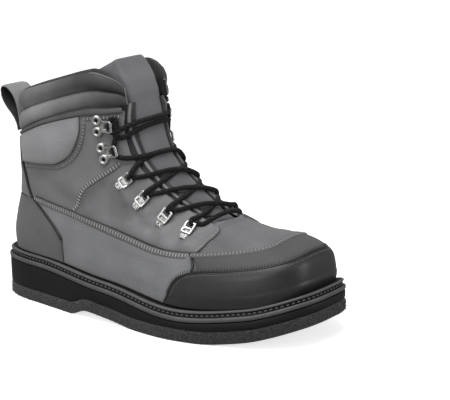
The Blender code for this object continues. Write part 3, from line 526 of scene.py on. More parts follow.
def slab(name, top, bottom, finishes, uv=None, edge=None, lined=False, crisp=40):
    """A closed plate between two grids of the same size."""
    rows, columns = top.shape[:2]
    base = rows * columns
    faces = grid_faces(rows, columns)
    faces += [face[::-1] for face in grid_faces(rows, columns, start=base)]
    lining = len(faces) // 2
    rim = list(range(columns))
    rim += [i * columns + columns - 1 for i in range(1, rows)]
    rim += [(rows - 1) * columns + j for j in range(columns - 2, -1, -1)]
    rim += [i * columns for i in range(rows - 2, 0, -1)]
    faces += [(b, a, base + a, base + b) for a, b in zip(rim, rim[1:] + rim[:1])]
    slots = [1 if lined and lining <= i < 2 * lining else 0 for i in range(len(faces))]
    both = np.concatenate([top.reshape(-1, 3), bottom.reshape(-1, 3)])
    uv = None if uv is None else np.concatenate([uv.reshape(-1, 2)] * 2)
    edge = None if edge is None else np.concatenate([edge.ravel()] * 2)
    return new_piece(name, both, faces, finishes, slots, uv, edge, crisp)


def loft(name, loops, finishes, capped=False, slots_of=None, uv=None, crisp=40):
    """A solid through closed loops of points. Without caps the last loop joins the first."""
    loops = np.asarray(loops)
    rings, count = loops.shape[:2]
    faces = grid_faces(rings, count, closed_columns=True, closed_rows=not capped)
    if capped:
        half = count // 2
        cap = [(0, 1, count - 1)]
        cap += [(j, j + 1, count - j - 1, count - j) for j in range(1, half - 1)]
        cap.append((half - 1, half, half + 1))
        last = (rings - 1) * count
        faces += [tuple(reversed(face)) for face in cap] + [tuple(last + i for i in face) for face in cap]
    slots = None
    if slots_of is not None:
        slots = [slots_of(i // count) if i < rings * count else 0 for i in range(len(faces))]
    return new_piece(name, loops, faces, finishes, slots, uv, crisp=crisp)


def edge_steps(length, count, rounding):
    """Places from 0 to 1 across a panel, close together where its edges are rounded."""
    near = np.array([0.0, 0.12, 0.35, 0.7, 1.1]) * rounding / length
    near = near[near < 0.3]
    inside = np.linspace(near[-1], 1 - near[-1], count)[1:-1]
    return np.concatenate([near, inside, 1 - near[::-1]])


def edge_height(u, v, height, width, rounding):
    """A panel's height share near its edges, and how near to an edge each point is."""
    away = np.minimum(np.minimum(u, 1 - u)[:, None] * height, np.minimum(v, 1 - v)[None, :] * width)
    share = np.clip(away / rounding, 0, 1)
    return 0.3 + 0.7 * np.sqrt(1 - (1 - share) ** 2), np.exp(-away / (2.2 * MM))


def panel(name, finishes, place, rows, columns, slot, nodes=(), lift=PANEL_LIFT, thickness=None, puff=0.0,
          flare=0.0):
    """A leather panel over the upper. place(u, v) gives level and turn for shares of the panel."""
    sizes = sizes_now()
    thickness = sizes.panel if thickness is None else thickness
    line = np.linspace(0, 1, 24)
    middle = np.full(24, 0.5)
    height = path_length(upper_point(*place(line, middle)))
    width = path_length(upper_point(*place(middle, line)))
    u, v = edge_steps(height, rows, sizes.rounding), edge_steps(width, columns, sizes.rounding)
    grid_u, grid_v = np.meshgrid(u, v, indexing="ij")
    level, turn = place(grid_u, grid_v)
    share, edge = edge_height(u, v, height, width, sizes.rounding)
    crown = puff * (np.sin(np.pi * grid_u) * np.sin(np.pi * grid_v)) ** 0.5
    lift = lift + flare * np.clip(1 - level / 1.1, 0, 1) * np.clip((np.abs(turn) - 0.70) / 0.2, 0, 1)
    top = skin(level, turn, lift + thickness * share + crown)
    bottom = skin(level, turn, lift)
    uv = np.stack([grid_v * width, grid_u * height], axis=-1)
    piece = slab(name, top, bottom, finishes, uv, edge)
    return place_piece(piece, slot, *nodes)


def reach_along(points):
    """The distance of each point from the first one, along their line."""
    return np.concatenate([[0], np.cumsum(np.linalg.norm(np.diff(points, axis=0), axis=-1))])


def path_length(points):
    return float(np.linalg.norm(np.diff(points, axis=0), axis=-1).sum())


def between(low, high, start, end):
    """The place function of a panel whose sides are turns and whose ends are lines of level."""
    def place(u, v):
        turn = wrapped(mix(start, end, v))
        there = np.abs(turn)
        return mix(low(there), high(there), u), turn
    return place


def side_line(places):
    """A panel's side, as level and turn over a share of its length."""
    levels, turns = np.array(places, float).T
    reach = reach_along(upper_point(levels, turns))
    shares = reach / reach[-1]
    return lambda share: np.stack([through(shares, levels, share), through(shares, turns, share)])


def patch(side, bottom, top, left, right):
    """The place function of a panel between four lines of (level, turn) places."""
    low, high, start, end = (side_line(places) for places in (bottom, top, left, right))

    def place(u, v):
        u, v = np.broadcast_arrays(np.asarray(u, float), np.asarray(v, float))
        at_start, at_end = np.zeros(u.shape), np.ones(u.shape)
        corners = ((1 - u) * ((1 - v) * low(at_start) + v * low(at_end))
                   + u * ((1 - v) * high(at_start) + v * high(at_end)))
        spot = (1 - u) * low(v) + u * high(v) + (1 - v) * start(u) + v * end(u) - corners
        return spot[0], side * spot[1]
    return place


# Shader helpers
def operator(operation, swapped=False):
    """A method that adds a Math node, with the two values in either order."""
    def method(self, other):
        return self.sum_of(operation, other, self) if swapped else self.sum_of(operation, self, other)
    return method


class Wire:
    """A shader socket that takes part in sums. Each sum adds its Math node."""

    def __init__(self, finish, socket):
        self.finish = finish
        self.socket = socket

    def sum_of(self, operation, *values):
        node = self.finish.node("ShaderNodeMath", {"operation": operation}, dict(enumerate(values)))
        return Wire(self.finish, node.outputs[0])

    __add__ = operator('ADD')
    __radd__ = operator('ADD', swapped=True)
    __sub__ = operator('SUBTRACT')
    __rsub__ = operator('SUBTRACT', swapped=True)
    __mul__ = operator('MULTIPLY')
    __rmul__ = operator('MULTIPLY', swapped=True)
    __truediv__ = operator('DIVIDE')
    __rtruediv__ = operator('DIVIDE', swapped=True)
    __pow__ = operator('POWER')

    def sine(self):
        return self.sum_of('SINE', self)

    def size(self):
        return self.sum_of('ABSOLUTE', self)

    def stretched(self, low, high, start=0.0, end=1.0):
        """This value's range from low to high, spread from start to end and held there."""
        node = self.finish.node("ShaderNodeMapRange", {"interpolation_type": 'SMOOTHSTEP'},
                                {"Value": self, "From Min": low, "From Max": high, "To Min": start,
                                 "To Max": end})
        return Wire(self.finish, node.outputs[0])


class Finish:
    """A material under construction, with one Principled shader."""

    def __init__(self, name, roughness, metallic=0.0, sheen=0.0, specular=0.5, coat=0.0):
        self.material = bpy.data.materials.new(name)
        self.material.use_nodes = True
        self.tree = self.material.node_tree
        self.shader = self.tree.nodes["Principled BSDF"]
        for socket, value in (("Roughness", roughness), ("Metallic", metallic), ("Sheen Weight", sheen),
                              ("Specular IOR Level", specular), ("Coat Weight", coat)):
            self.shader.inputs[socket].default_value = value
        self.shader.inputs["Sheen Roughness"].default_value = 0.6
        self.shader.inputs["Coat Roughness"].default_value = 0.35
        self.coordinates = self.node("ShaderNodeTexCoord", {}, {})

    def node(self, kind, settings, values):
        """Any node: its settings first, then the values or links of its sockets."""
        node = self.tree.nodes.new(kind)
        for setting, value in settings.items():
            if setting == "stops":
                self.set_stops(node.color_ramp, value)
            else:
                setattr(node, setting, value)
        for socket, value in values.items():
            self.feed(node.inputs[socket], value)
        return node

    @staticmethod
    def set_stops(ramp, stops):
        while len(ramp.elements) < len(stops):
            ramp.elements.new(1.0)
        for element, (place, shade) in zip(ramp.elements, stops):
            element.position = place
            element.color = (shade, shade, shade, 1)

    def feed(self, socket, value):
        if isinstance(value, Wire):
            self.tree.links.new(value.socket, socket)
        elif isinstance(value, bpy.types.NodeSocket):
            self.tree.links.new(value, socket)
        elif socket.type == 'RGBA':
            socket.default_value = (*value, 1.0)
        else:
            socket.default_value = value

    def put(self, socket, value):
        self.feed(self.shader.inputs[socket], value)

    def at(self, name="Object", scale=(1, 1, 1), turn=(0, 0, 0)):
        mapping = self.node("ShaderNodeMapping", {}, {"Vector": self.coordinates.outputs[name],
                                                      "Scale": scale, "Rotation": turn})
        return mapping.outputs[0]

    def part_of(self, vector):
        node = self.node("ShaderNodeSeparateXYZ", {}, {"Vector": vector})
        return [Wire(self, output) for output in node.outputs]

    def cloud(self, per_metre, detail=3.0, rough=0.55, vector=None):
        vector = self.coordinates.outputs["Object"] if vector is None else vector
        node = self.node("ShaderNodeTexNoise", {}, {"Vector": vector, "Scale": per_metre, "Detail": detail,
                                                    "Roughness": rough})
        return Wire(self, node.outputs[0])

    def cells(self, per_metre):
        vector = self.coordinates.outputs["Object"]
        node = self.node("ShaderNodeTexVoronoi", {}, {"Vector": vector, "Scale": per_metre})
        return Wire(self, node.outputs["Distance"])

    def attribute(self, name):
        return Wire(self, self.node("ShaderNodeAttribute", {"attribute_name": name}, {}).outputs["Fac"])

    def blend(self, share, first, second):
        node = self.node("ShaderNodeMix", {"data_type": 'RGBA'}, {0: share, 6: first, 7: second})
        return node.outputs[2]

    def bump(self, *layers):
        """Bumps over each other, as (height, distance in metres, strength)."""
        normal = None
        for height, distance, strength in layers:
            values = {"Height": height, "Distance": distance, "Strength": strength}
            if normal is not None:
                values["Normal"] = normal
            normal = self.node("ShaderNodeBump", {}, values).outputs[0]
        self.put("Normal", normal)


def shade(colour, factor):
    return tuple(min(1.0, channel * factor) for channel in colour)


def leather(name, colour, roughness=0.62, grain=1.0, sheen=0.12, burnish_and_shade=0.55, dark=0.42):
    """Soft-faced leather: fine grain, cloudy colour, darker and smoother along its cut edges and wherever a
    piece's edge attribute carries painted shade.
    """
    finish = Finish(name, roughness, sheen=sheen, specular=0.35)
    cloudy = finish.cloud(28, 4.0).stretched(0.30, 0.72)
    speckle = finish.cloud(900, 2.0).stretched(0.35, 0.70)
    base = finish.blend(cloudy, shade(colour, 0.88), shade(colour, 1.10))
    base = finish.blend(speckle * 0.35, base, shade(colour, 1.30))
    scuff = finish.cloud(160, 6.0, 0.7).stretched(0.62, 0.78)
    base = finish.blend(scuff * 0.22, base, shade(colour, 1.5))
    edge = finish.attribute("edge")
    # The edge attribute darkens cut edges; on the vamp, the tongue and the gussets it also carries painted
    # shade.
    base = finish.blend(edge * burnish_and_shade, base, shade(colour, dark))
    finish.put("Base Color", base)
    finish.put("Roughness", roughness + 0.10 * cloudy - 0.12 * edge - 0.08 * speckle)
    pores = finish.cells(1150 * grain)
    wrinkles = finish.cloud(420 * grain, 5.0, 0.6)
    finish.bump((wrinkles, 0.00035, 0.35), (pores, 0.00018, 0.45))
    return finish.material


def smooth_leather(name, colour, roughness, coat=0.0, dark=0.5):
    """Smoother coated leather with a soft sheen, for the toe cap and the padding."""
    finish = Finish(name, roughness, specular=0.45, coat=coat)
    cloudy = finish.cloud(40, 4.0).stretched(0.32, 0.70)
    rubbed = finish.cloud(230, 6.0, 0.7).stretched(0.58, 0.75)
    base = finish.blend(cloudy, shade(colour, 0.85), shade(colour, 1.15))
    base = finish.blend(rubbed * 0.25, base, shade(colour, 1.7))
    # The edge attribute darkens cut edges; on the collar it carries painted shade towards the front.
    edge = finish.attribute("edge")
    base = finish.blend(edge * 0.6, base, shade(colour, dark))
    finish.put("Base Color", base)
    finish.put("Roughness", roughness + 0.10 * cloudy + 0.10 * rubbed)
    pebbles = finish.cells(800)
    folds = finish.cloud(260, 5.0, 0.6)
    finish.bump((folds, 0.0004, 0.30), (pebbles, 0.00016, 0.40))
    return finish.material


def rubber(name, colour, roughness, specular=0.4):
    """Moulded rubber: almost even, with faint flow marks and dust."""
    finish = Finish(name, roughness, specular=specular)
    dust = finish.cloud(60, 6.0, 0.65).stretched(0.45, 0.75)
    finish.put("Base Color", finish.blend(dust * 0.5, colour, shade(colour, 1.6)))
    finish.put("Roughness", roughness + 0.14 * dust)
    finish.bump((finish.cloud(700, 4.0), 0.00012, 0.5))
    return finish.material


def felt(name, colour):
    """Dense pressed felt: matted fibres in two tones with loose light flecks."""
    finish = Finish(name, 0.95, sheen=0.25, specular=0.15)
    matted = finish.cloud(620, 8.0, 0.75, finish.at(scale=(1, 1, 2.2)))
    clumps = finish.cloud(320, 5.0, 0.65)
    flecks = finish.cells(950).stretched(0.10, 0.30, 1.0, 0.0)
    base = finish.blend(matted.stretched(0.35, 0.68), shade(colour, 0.35), shade(colour, 1.75))
    base = finish.blend(clumps.stretched(0.40, 0.66) * 0.6, base, shade(colour, 0.5))
    base = finish.blend(flecks * 0.45, base, shade(colour, 3.0))
    finish.put("Base Color", base)
    finish.bump((clumps, 0.0009, 0.6), (matted, 0.0006, 0.9))
    return finish.material


def cloth(name, colour, threads_per_metre=1500.0, roughness=0.9):
    """Woven cloth, with its warp and weft along the piece's own UV map."""
    finish = Finish(name, roughness, sheen=0.2, specular=0.2)
    across, along, _ = finish.part_of(finish.at("UV"))
    turn = 2 * math.pi * threads_per_metre
    weave = (across * turn).sine() * (along * turn).sine()
    rib = (along * (turn / 6)).sine()
    uneven = finish.cloud(300, 4.0)
    base = finish.blend(weave.stretched(-0.8, 0.9), shade(colour, 0.6), shade(colour, 1.5))
    base = finish.blend(uneven.stretched(0.35, 0.7) * 0.4, base, shade(colour, 0.7))
    finish.put("Base Color", base)
    finish.bump((weave + rib * 0.35, 0.00025, 0.6))
    return finish.material


def braid(name, colour, diameter):
    """Round braided lace: crossing plaits, with a light fleck in every few of them."""
    finish = Finish(name, 0.9, sheen=0.06, specular=0.15)
    along, around, _ = finish.part_of(finish.at("UV"))
    pitch = 2 * math.pi / (1.1 * diameter)
    round_turn = 2 * math.pi * 4
    one = (along * pitch + around * round_turn).sine()
    other = (along * pitch - around * round_turn).sine()
    plait = one.size() * other.size()
    fleck = (along * (pitch / 2.0) + around * (round_turn / 4)).sine() * (one * other)
    base = finish.blend(plait.stretched(0.0, 0.8), shade(colour, 0.4), shade(colour, 1.7))
    base = finish.blend(fleck.stretched(0.55, 0.75) * 0.5, base, (0.16, 0.16, 0.165))
    finish.put("Base Color", base)
    finish.bump((plait, 0.0005, 0.8), (finish.cloud(3000, 3.0), 0.0001, 0.4))
    return finish.material


def thread(name, colour):
    """Twisted sewing thread."""
    finish = Finish(name, 0.7, sheen=0.15, specular=0.3)
    twist = finish.cloud(2600, 3.0)
    finish.put("Base Color", finish.blend(twist.stretched(0.3, 0.7), shade(colour, 0.7), shade(colour, 1.2)))
    finish.bump((twist, 0.0002, 0.5))
    return finish.material


def plated_steel(name, colour):
    """Bright plated steel with fine scratches and slightly duller patches."""
    finish = Finish(name, 0.32, metallic=1.0, specular=0.5)
    dull = finish.cloud(350, 5.0, 0.7).stretched(0.42, 0.72)
    scratches = finish.cloud(2200, 2.0, 0.5, finish.at(scale=(1, 6, 1), turn=(0, 0.5, 0.4)))
    finish.put("Base Color", finish.blend(dull * 0.5, colour, shade(colour, 0.62)))
    finish.put("Roughness", 0.27 + 0.16 * dull + 0.06 * scratches)
    finish.bump((scratches, 0.00006, 0.35))
    return finish.material


def finishes():
    """Every finish of the boot by name, made once."""
    if FINISHES:
        return FINISHES
    colours = bpy.context.scene.boot_colours
    sizes = sizes_now()
    FINISHES.update(
        quarter=leather("quarter_leather", colours.quarter),
        side=leather("side_leather", colours.side),
        vamp=leather("vamp_leather", colours.vamp),
        ankle=leather("ankle_leather", colours.ankle, roughness=0.72, sheen=0.2),
        ring_panel=smooth_leather("ring_panel_leather", colours.ring_panel, 0.46),
        counter=leather("counter_leather", colours.counter, roughness=0.55),
        toe=smooth_leather("toe_cap_leather", colours.toe, 0.42, coat=0.22),
        # The collar's dark share is reached where its edge attribute paints shade towards the front ends.
        collar=smooth_leather("collar_leather", colours.collar, 0.50, dark=0.16),
        binding=smooth_leather("binding_leather", shade(colours.collar, 0.53), 0.52),
        tongue=leather("tongue_leather", colours.tongue, roughness=0.55, grain=1.3, sheen=0.25),
        lining=cloth("lining_cloth", colours.lining, 900.0),
        webbing=cloth("loop_webbing", colours.lining, 700.0, 0.8),
        loop_face=leather("loop_leather", shade(colours.quarter, 1.5)),
        rubber=rubber("black_rubber_finish", colours.rubber, 0.5, 0.25),
        welt=rubber("grey_rubber_finish", colours.welt, 0.42),
        felt=felt("felt_finish", colours.felt),
        lace=braid("braided_lace", colours.lace, sizes.lace),
        thread=thread("light_thread", colours.thread),
        dim_thread=thread("dim_thread", shade(colours.thread, 0.68)),
        grey_thread=thread("grey_thread", shade(colours.thread, 0.42)),
        dark_thread=thread("dark_thread", colours.dark_thread),
        piping=rubber("black_piping", shade(colours.rubber, 1.2), 0.4),
        light_piping=smooth_leather("light_piping", shade(colours.ankle, 0.62), 0.5),
        seam=leather("seam_leather", shade(colours.quarter, 0.62)),
        soft_seam=leather("soft_seam_leather", shade(colours.quarter, 0.78)),
        band=leather("toe_band_leather", shade(colours.side, 0.36)),
        # The gusset's finish darkens strongly away from its raised strip: partly the gusset's own darker
        # leather, partly painted shade beside the throat.
        gusset=leather("gusset_leather_with_painted_shade", shade(colours.tongue, 1.35), burnish_and_shade=1.3, dark=0.12),
        steel=plated_steel("plated_steel", colours.steel),
        eyelet=plated_steel("eyelet_metal", shade(colours.steel, 0.55)),
    )
    return FINISHES


FINISHES = {}


# Geometry node trees for what repeats along a path
def start_tree(name, **inputs):
    """A node tree with one geometry going in and out, and named inputs for its sizes."""
    tree = bpy.data.node_groups.new(name, 'GeometryNodeTree')
    tree.is_modifier = True
    tree.interface.new_socket(name="Geometry", in_out='INPUT', socket_type='NodeSocketGeometry')
    for title, default in inputs.items():
        kind = {float: 'NodeSocketFloat', int: 'NodeSocketInt'}.get(type(default), 'NodeSocketMaterial')
        made = tree.interface.new_socket(name=title, in_out='INPUT', socket_type=kind)
        if default is not None:
            made.default_value = default
    tree.interface.new_socket(name="Geometry", in_out='OUTPUT', socket_type='NodeSocketGeometry')
    return tree, tree.nodes.new("NodeGroupInput").outputs


def grow(tree, kind, settings=None, *values, **named):
    """Adds a node and gives its first output. Its sockets are filled in order, or by name with
    spaces written as underscores."""
    node = tree.nodes.new(kind)
    for setting, value in (settings or {}).items():
        setattr(node, setting, value)
    sockets = [socket for socket in node.inputs if socket.enabled]
    filled = list(zip(sockets, values))
    for title, value in named.items():
        filled.append((next(socket for socket in sockets if socket.name == title.replace("_", " ")), value))
    for socket, value in filled:
        if isinstance(value, bpy.types.NodeSocket):
            tree.links.new(value, socket)
        else:
            socket.default_value = value
    return next(socket for socket in node.outputs if socket.enabled)


def end_tree(tree, geometry, material):
    whole = grow(tree, "GeometryNodeRealizeInstances", Geometry=geometry)
    smooth = grow(tree, "GeometryNodeSetShadeSmooth", Geometry=whole)
    painted = grow(tree, "GeometryNodeSetMaterial", Geometry=smooth, Material=material)
    tree.links.new(painted, tree.nodes.new("NodeGroupOutput").inputs[0])
    return tree


def stitch_tree():
    """Threads set side by side or end to end along a path, standing on its outward side."""
    tree, given = start_tree("stitch_row", Spacing=0.0024, Length=0.002, Width=0.0008, Height=0.0006,
                             Turn=0.0, Wobble=0.12, Seed=4, Thread=None)
    curve = grow(tree, "GeometryNodeMeshToCurve", Mesh=given["Geometry"])
    points = grow(tree, "GeometryNodeCurveToPoints", {"mode": 'LENGTH'}, Curve=curve, Length=given["Spacing"])
    outward = grow(tree, "GeometryNodeInputNamedAttribute", {"data_type": 'FLOAT_VECTOR'}, Name="outward")
    upright = grow(tree, "FunctionNodeAlignRotationToVector", {"axis": 'Z'}, Vector=outward)
    along = grow(tree, "FunctionNodeAlignRotationToVector", {"axis": 'X', "pivot_axis": 'Z'},
                 Rotation=upright, Vector=points.node.outputs["Tangent"])
    low, high = (grow(tree, "ShaderNodeMath", {"operation": operation}, given["Turn"], given["Wobble"])
                 for operation in ('SUBTRACT', 'ADD'))
    angle = grow(tree, "FunctionNodeRandomValue", {"data_type": 'FLOAT'}, Min=low, Max=high,
                 Seed=given["Seed"])
    spin = grow(tree, "FunctionNodeEulerToRotation", Euler=grow(tree, "ShaderNodeCombineXYZ", Z=angle))
    turned = grow(tree, "FunctionNodeRotateRotation", {"rotation_space": 'LOCAL'}, along, spin)
    bead = grow(tree, "GeometryNodeMeshUVSphere", Segments=8, Rings=5, Radius=0.5)
    size = grow(tree, "ShaderNodeCombineXYZ", X=given["Length"], Y=given["Width"], Z=given["Height"])
    stretched = grow(tree, "GeometryNodeTransform", Geometry=bead, Scale=size)
    placed = grow(tree, "GeometryNodeInstanceOnPoints", Points=points, Instance=stretched, Rotation=turned)
    return end_tree(tree, placed, given["Thread"])


def piping_tree():
    """A round cord along each path."""
    tree, given = start_tree("piping_cord", Radius=0.0009, Cord=None)
    curve = grow(tree, "GeometryNodeMeshToCurve", Mesh=given["Geometry"])
    ring = grow(tree, "GeometryNodeCurvePrimitiveCircle", {"mode": 'RADIUS'}, Resolution=10,
                Radius=given["Radius"])
    cord = grow(tree, "GeometryNodeCurveToMesh", Curve=curve, Profile_Curve=ring, Fill_Caps=True)
    return end_tree(tree, cord, given["Cord"])


def fibre_tree():
    """Short loose fibres standing at all angles on a surface."""
    tree, given = start_tree("loose_fibres", Amount=7000, Length=0.0016, Width=0.00016, Seed=9, Fibre=None)
    points = grow(tree, "GeometryNodeDistributePointsOnFaces", Mesh=given["Geometry"], Density=700000.0,
                  Seed=given["Seed"])
    number = grow(tree, "GeometryNodeInputIndex")
    extra = grow(tree, "FunctionNodeCompare", {"data_type": 'INT', "operation": 'GREATER_EQUAL'}, number,
                 given["Amount"])
    kept = grow(tree, "GeometryNodeDeleteGeometry", {"domain": 'POINT'}, Geometry=points, Selection=extra)
    lean = grow(tree, "FunctionNodeRandomValue", {"data_type": 'FLOAT_VECTOR'}, Min=(-1.3, -1.3, -3.1),
                Max=(1.3, 1.3, 3.1), Seed=given["Seed"])
    aim = grow(tree, "FunctionNodeRotateRotation", {"rotation_space": 'LOCAL'},
               points.node.outputs["Rotation"], grow(tree, "FunctionNodeEulerToRotation", Euler=lean))
    hair = grow(tree, "GeometryNodeMeshCone", {"fill_type": 'NGON'}, Vertices=3, Radius_Top=0.3,
                Radius_Bottom=1.0, Depth=1.0)
    size = grow(tree, "ShaderNodeCombineXYZ", X=given["Width"], Y=given["Width"], Z=given["Length"])
    placed = grow(tree, "GeometryNodeInstanceOnPoints", Points=kept, Instance=hair, Rotation=aim, Scale=size)
    return end_tree(tree, placed, given["Fibre"])


def grown(name, carrier, tree, values):
    """Runs a tree on a carrier mesh and keeps the result as a plain piece."""
    guide = linked(name + "_guide", carrier)
    modifier = guide.modifiers.new("grow", 'NODES')
    modifier.node_group = tree
    for item in tree.interface.items_tree:
        if item.in_out == 'INPUT' and item.name in values:
            modifier[item.identifier] = values[item.name]
    bpy.context.view_layer.update()
    mesh = bpy.data.meshes.new_from_object(guide.evaluated_get(bpy.context.evaluated_depsgraph_get()))
    bpy.data.objects.remove(guide)
    if len(mesh.polygons) == 0:
        raise RuntimeError(f"the tree {tree.name} made nothing for {name}")
    mesh.name = name
    for layer in [a.name for a in mesh.attributes if a.name == "outward"]:
        mesh.attributes.remove(mesh.attributes[layer])
    return linked(name, mesh)


def path_mesh(name, paths):
    """Paths as loose edges, with each point's outward direction."""
    points = np.concatenate([path[0] for path in paths])
    outward = np.concatenate([path[1] for path in paths])
    edges = []
    start = 0
    for line, _ in paths:
        edges += [(start + i, start + i + 1) for i in range(len(line) - 1)]
        start += len(line)
    mesh = bpy.data.meshes.new(name)
    mesh.from_pydata(points.tolist(), edges, [])
    layer = mesh.attributes.new("outward", 'FLOAT_VECTOR', 'POINT')
    layer.data.foreach_set("vector", outward.astype(np.float32).ravel())
    return mesh


def sewn_path(places, lift, shift=0.0, step=1.2 * MM):
    """A path on the leather through (level, turn) places, moved sideways over the surface."""
    levels = np.array([place[0] for place in places])
    turns = np.array([place[1] for place in places])
    chords = np.linalg.norm(np.diff(upper_point(levels, turns), axis=0), axis=1)
    reach = np.concatenate([[0], np.cumsum(np.maximum(chords, 1e-5))])
    count = max(3, int(reach[-1] / step))
    along = np.linspace(0, reach[-1], count)
    level, turn = through(reach, levels, along), through(reach, unrolled(turns), along)
    if shift:
        level, turn = moved_over(level, turn, shift)
    return skin(level, wrapped(turn), lift), upper_normal(level, wrapped(turn))


def unrolled(turns):
    """Turns without the jump from 1 to -1 at the front."""
    return np.unwrap(np.asarray(turns, float), period=2)


def moved_over(level, turn, shift):
    """Places moved sideways over the surface from a line of places, by a distance."""
    tiny = 0.002
    up = (upper_point(level + tiny, turn) - upper_point(level, turn)) / tiny
    around_it = (upper_point(level, turn + tiny) - upper_point(level, turn - tiny)) / (2 * tiny)
    ahead = np.gradient(upper_point(level, turn), axis=0)
    step = unit(np.cross(ahead, upper_normal(level, turn))) * shift
    a, b, c = (up * up).sum(-1), (up * around_it).sum(-1), (around_it * around_it).sum(-1)
    p, q = (step * up).sum(-1), (step * around_it).sum(-1)
    area = a * c - b * b
    return level + (p * c - q * b) / area, turn + (q * a - p * b) / area


def both_sides(places):
    return [places, [(level, -turn) for level, turn in places]]


def line_of(curve, start, end, count=16):
    """Places along a line of level over turn."""
    turns = np.linspace(start, end, count)
    return [(float(curve(abs(float(wrapped(turn))))), float(wrapped(turn))) for turn in turns]


def inward_shift(places, shift):
    """The same sideways shift on both sides of the boot."""
    return -shift if places[0][1] < 0 else shift


def stitch_rows(name, tree, places_list, finish, lift, length=None, gap=None, turn=0.0, width=1.0,
                shift=0.0):
    """Rows of stitches along several paths, as one piece."""
    sizes = sizes_now()
    paths = [sewn_path(places, lift, inward_shift(places, shift)) for places in places_list]
    values = {"Spacing": gap or sizes.stitch_gap, "Length": length or 0.78 * sizes.stitch_gap,
              "Width": width * sizes.stitch_width, "Height": 0.9 * sizes.stitch_width, "Turn": turn,
              "Wobble": 0.10, "Seed": len(name), "Thread": finish}
    return place_piece(grown(name, path_mesh(name + "_path", paths), tree, values), "lace")


def ribbon(name, places, finish, width, lift, shift):
    """A thin strip sewn flat on the leather along a path."""
    shift = inward_shift(places, shift)
    shares = np.linspace(-1, 1, 7)
    heights = 0.45 * MM * np.sqrt(1 - 0.9 * shares ** 4)
    top, bottom = (np.stack([sewn_path(places, lift + height, shift + share * width / 2)[0]
                             for share, height in zip(shares, rise)], axis=1)
                   for rise in (heights, np.full(7, -0.4 * MM)))
    uv = np.zeros(top.shape[:2] + (2,))
    return place_piece(slab(name, top, bottom, [finish], uv, np.zeros(top.shape[:2])), "dark_leather")


def ladder(name, tree, places_list, lift, shift, length=4.0 * MM, light="thread", dark="seam"):
    """Cross stitches over a dark ribbon along several paths."""
    made = finishes()
    for number, places in enumerate(places_list, start=1):
        ribbon(f"{name}_ribbon_{number}", places, made[dark], length + 0.7 * MM, lift, shift)
    stitch_rows(name, tree, places_list, made[light], lift + 0.5 * MM, length, 2.9 * MM, math.pi / 2,
                1.35, shift)


def piping_line(name, tree, places_list, finish, lift, radius=None):
    sizes = sizes_now()
    paths = [sewn_path(places, lift) for places in places_list]
    values = {"Radius": radius or sizes.piping, "Cord": finish}
    return place_piece(grown(name, path_mesh(name + "_path", paths), tree, values), "black_rubber")


# The sole
def build_felt_pad():
    sizes = sizes_now()
    made = finishes()
    loops = []
    count = 560
    for share, inset in ((0.0, 2.2), (0.0, 1.3), (0.10, 0.5), (0.24, 0.35), (0.38, 0.3), (0.52, 0.3),
                         (0.66, 0.3), (0.80, 0.35), (0.92, 0.5), (1.0, 0.9)):
        outline = sole_outline(inset * MM, count)
        height = share * FELT_THICKNESS
        ring = ring_of(outline, over(floor_line, height))
        if 0.0 < share < 1.0:
            rough = [noise.noise(Vector(spot) * 420) + 0.6 * noise.noise(Vector(spot) * 1100)
                     for spot in ring]
            outline = sole_outline(inset * MM + 0.2 * MM + np.array(rough) * sizes.fuzz, count)
            ring = ring_of(outline, over(floor_line, height))
        loops.append(ring)
    pad = loft("felt_pad", loops, [made["felt"]], capped=True, crisp=50)
    return place_piece(pad, "felt", "outsole_felt")


def build_felt_fibres():
    """Loose fibres on the felt's side wall."""
    sizes = sizes_now()
    loops = [ring_of(sole_outline(0.5 * MM, 280), over(floor_line, share * FELT_THICKNESS))
             for share in (0.06, 0.5, 0.94)]
    mesh = bpy.data.meshes.new("felt_side")
    mesh.from_pydata(np.asarray(loops).reshape(-1, 3).tolist(), [], grid_faces(3, 280, closed_columns=True))
    values = {"Amount": sizes.fibres, "Fibre": finishes()["felt"]}
    return place_piece(grown("felt_fibres", mesh, fibre_tree(), values), "felt")


def build_midsole_body():
    low = FELT_THICKNESS + 0.3 * MM
    high = -WELT_THICKNESS - 0.5 * MM
    steps = [(2.2, floor_line, low), (0.9, floor_line, low + 0.2 * MM), (0.35, floor_line, low + 1.2 * MM),
             (0.35, platform_line, high - 1.3 * MM), (0.7, platform_line, high - 0.4 * MM),
             (2.0, platform_line, high)]
    loops = [ring_of(sole_outline(inset * MM), over(line, height)) for inset, line, height in steps]
    body = loft("midsole_body", loops, [finishes()["rubber"]], capped=True, crisp=50)
    return place_piece(body, "black_rubber", "midsole")


def build_welt_strip():
    """Grey band, black stitched groove and a thin bead, in one strip round the boot."""
    made = finishes()
    profile = ((1.2, -9.0, 0), (0.35, -8.9, 0), (0.0, -8.5, 0), (-0.1, -7.3, 0), (0.0, -6.2, 0),
               (0.35, -5.6, 0), (1.1, -5.3, 1), (2.3, -5.2, 1), (2.7, -4.8, 1), (2.7, -2.6, 1),
               (2.4, -2.3, 2), (1.8, -2.1, 2), (1.4, -1.7, 2), (1.35, -1.2, 2), (1.7, -0.6, 2),
               (2.4, -0.1, 2), (3.4, 0.0, 1))
    loops = [ring_of(sole_outline(inset * MM), over(platform_line, height * MM))
             for inset, height, _ in profile]
    inner = UPPER_WALL + 2.0 * MM
    loops.append(ring_of(feather_outline(inner), over(platform_line, 0.0)))
    loops.append(ring_of(feather_outline(inner), over(platform_line, -WELT_THICKNESS)))
    slots = [step[2] for step in profile] + [1, 1]
    strip = loft("welt_strip", loops, [made["welt"], made["rubber"], made["welt"]],
                 slots_of=lambda i: slots[i], crisp=50)
    return place_piece(strip, "grey_rubber", "welt")


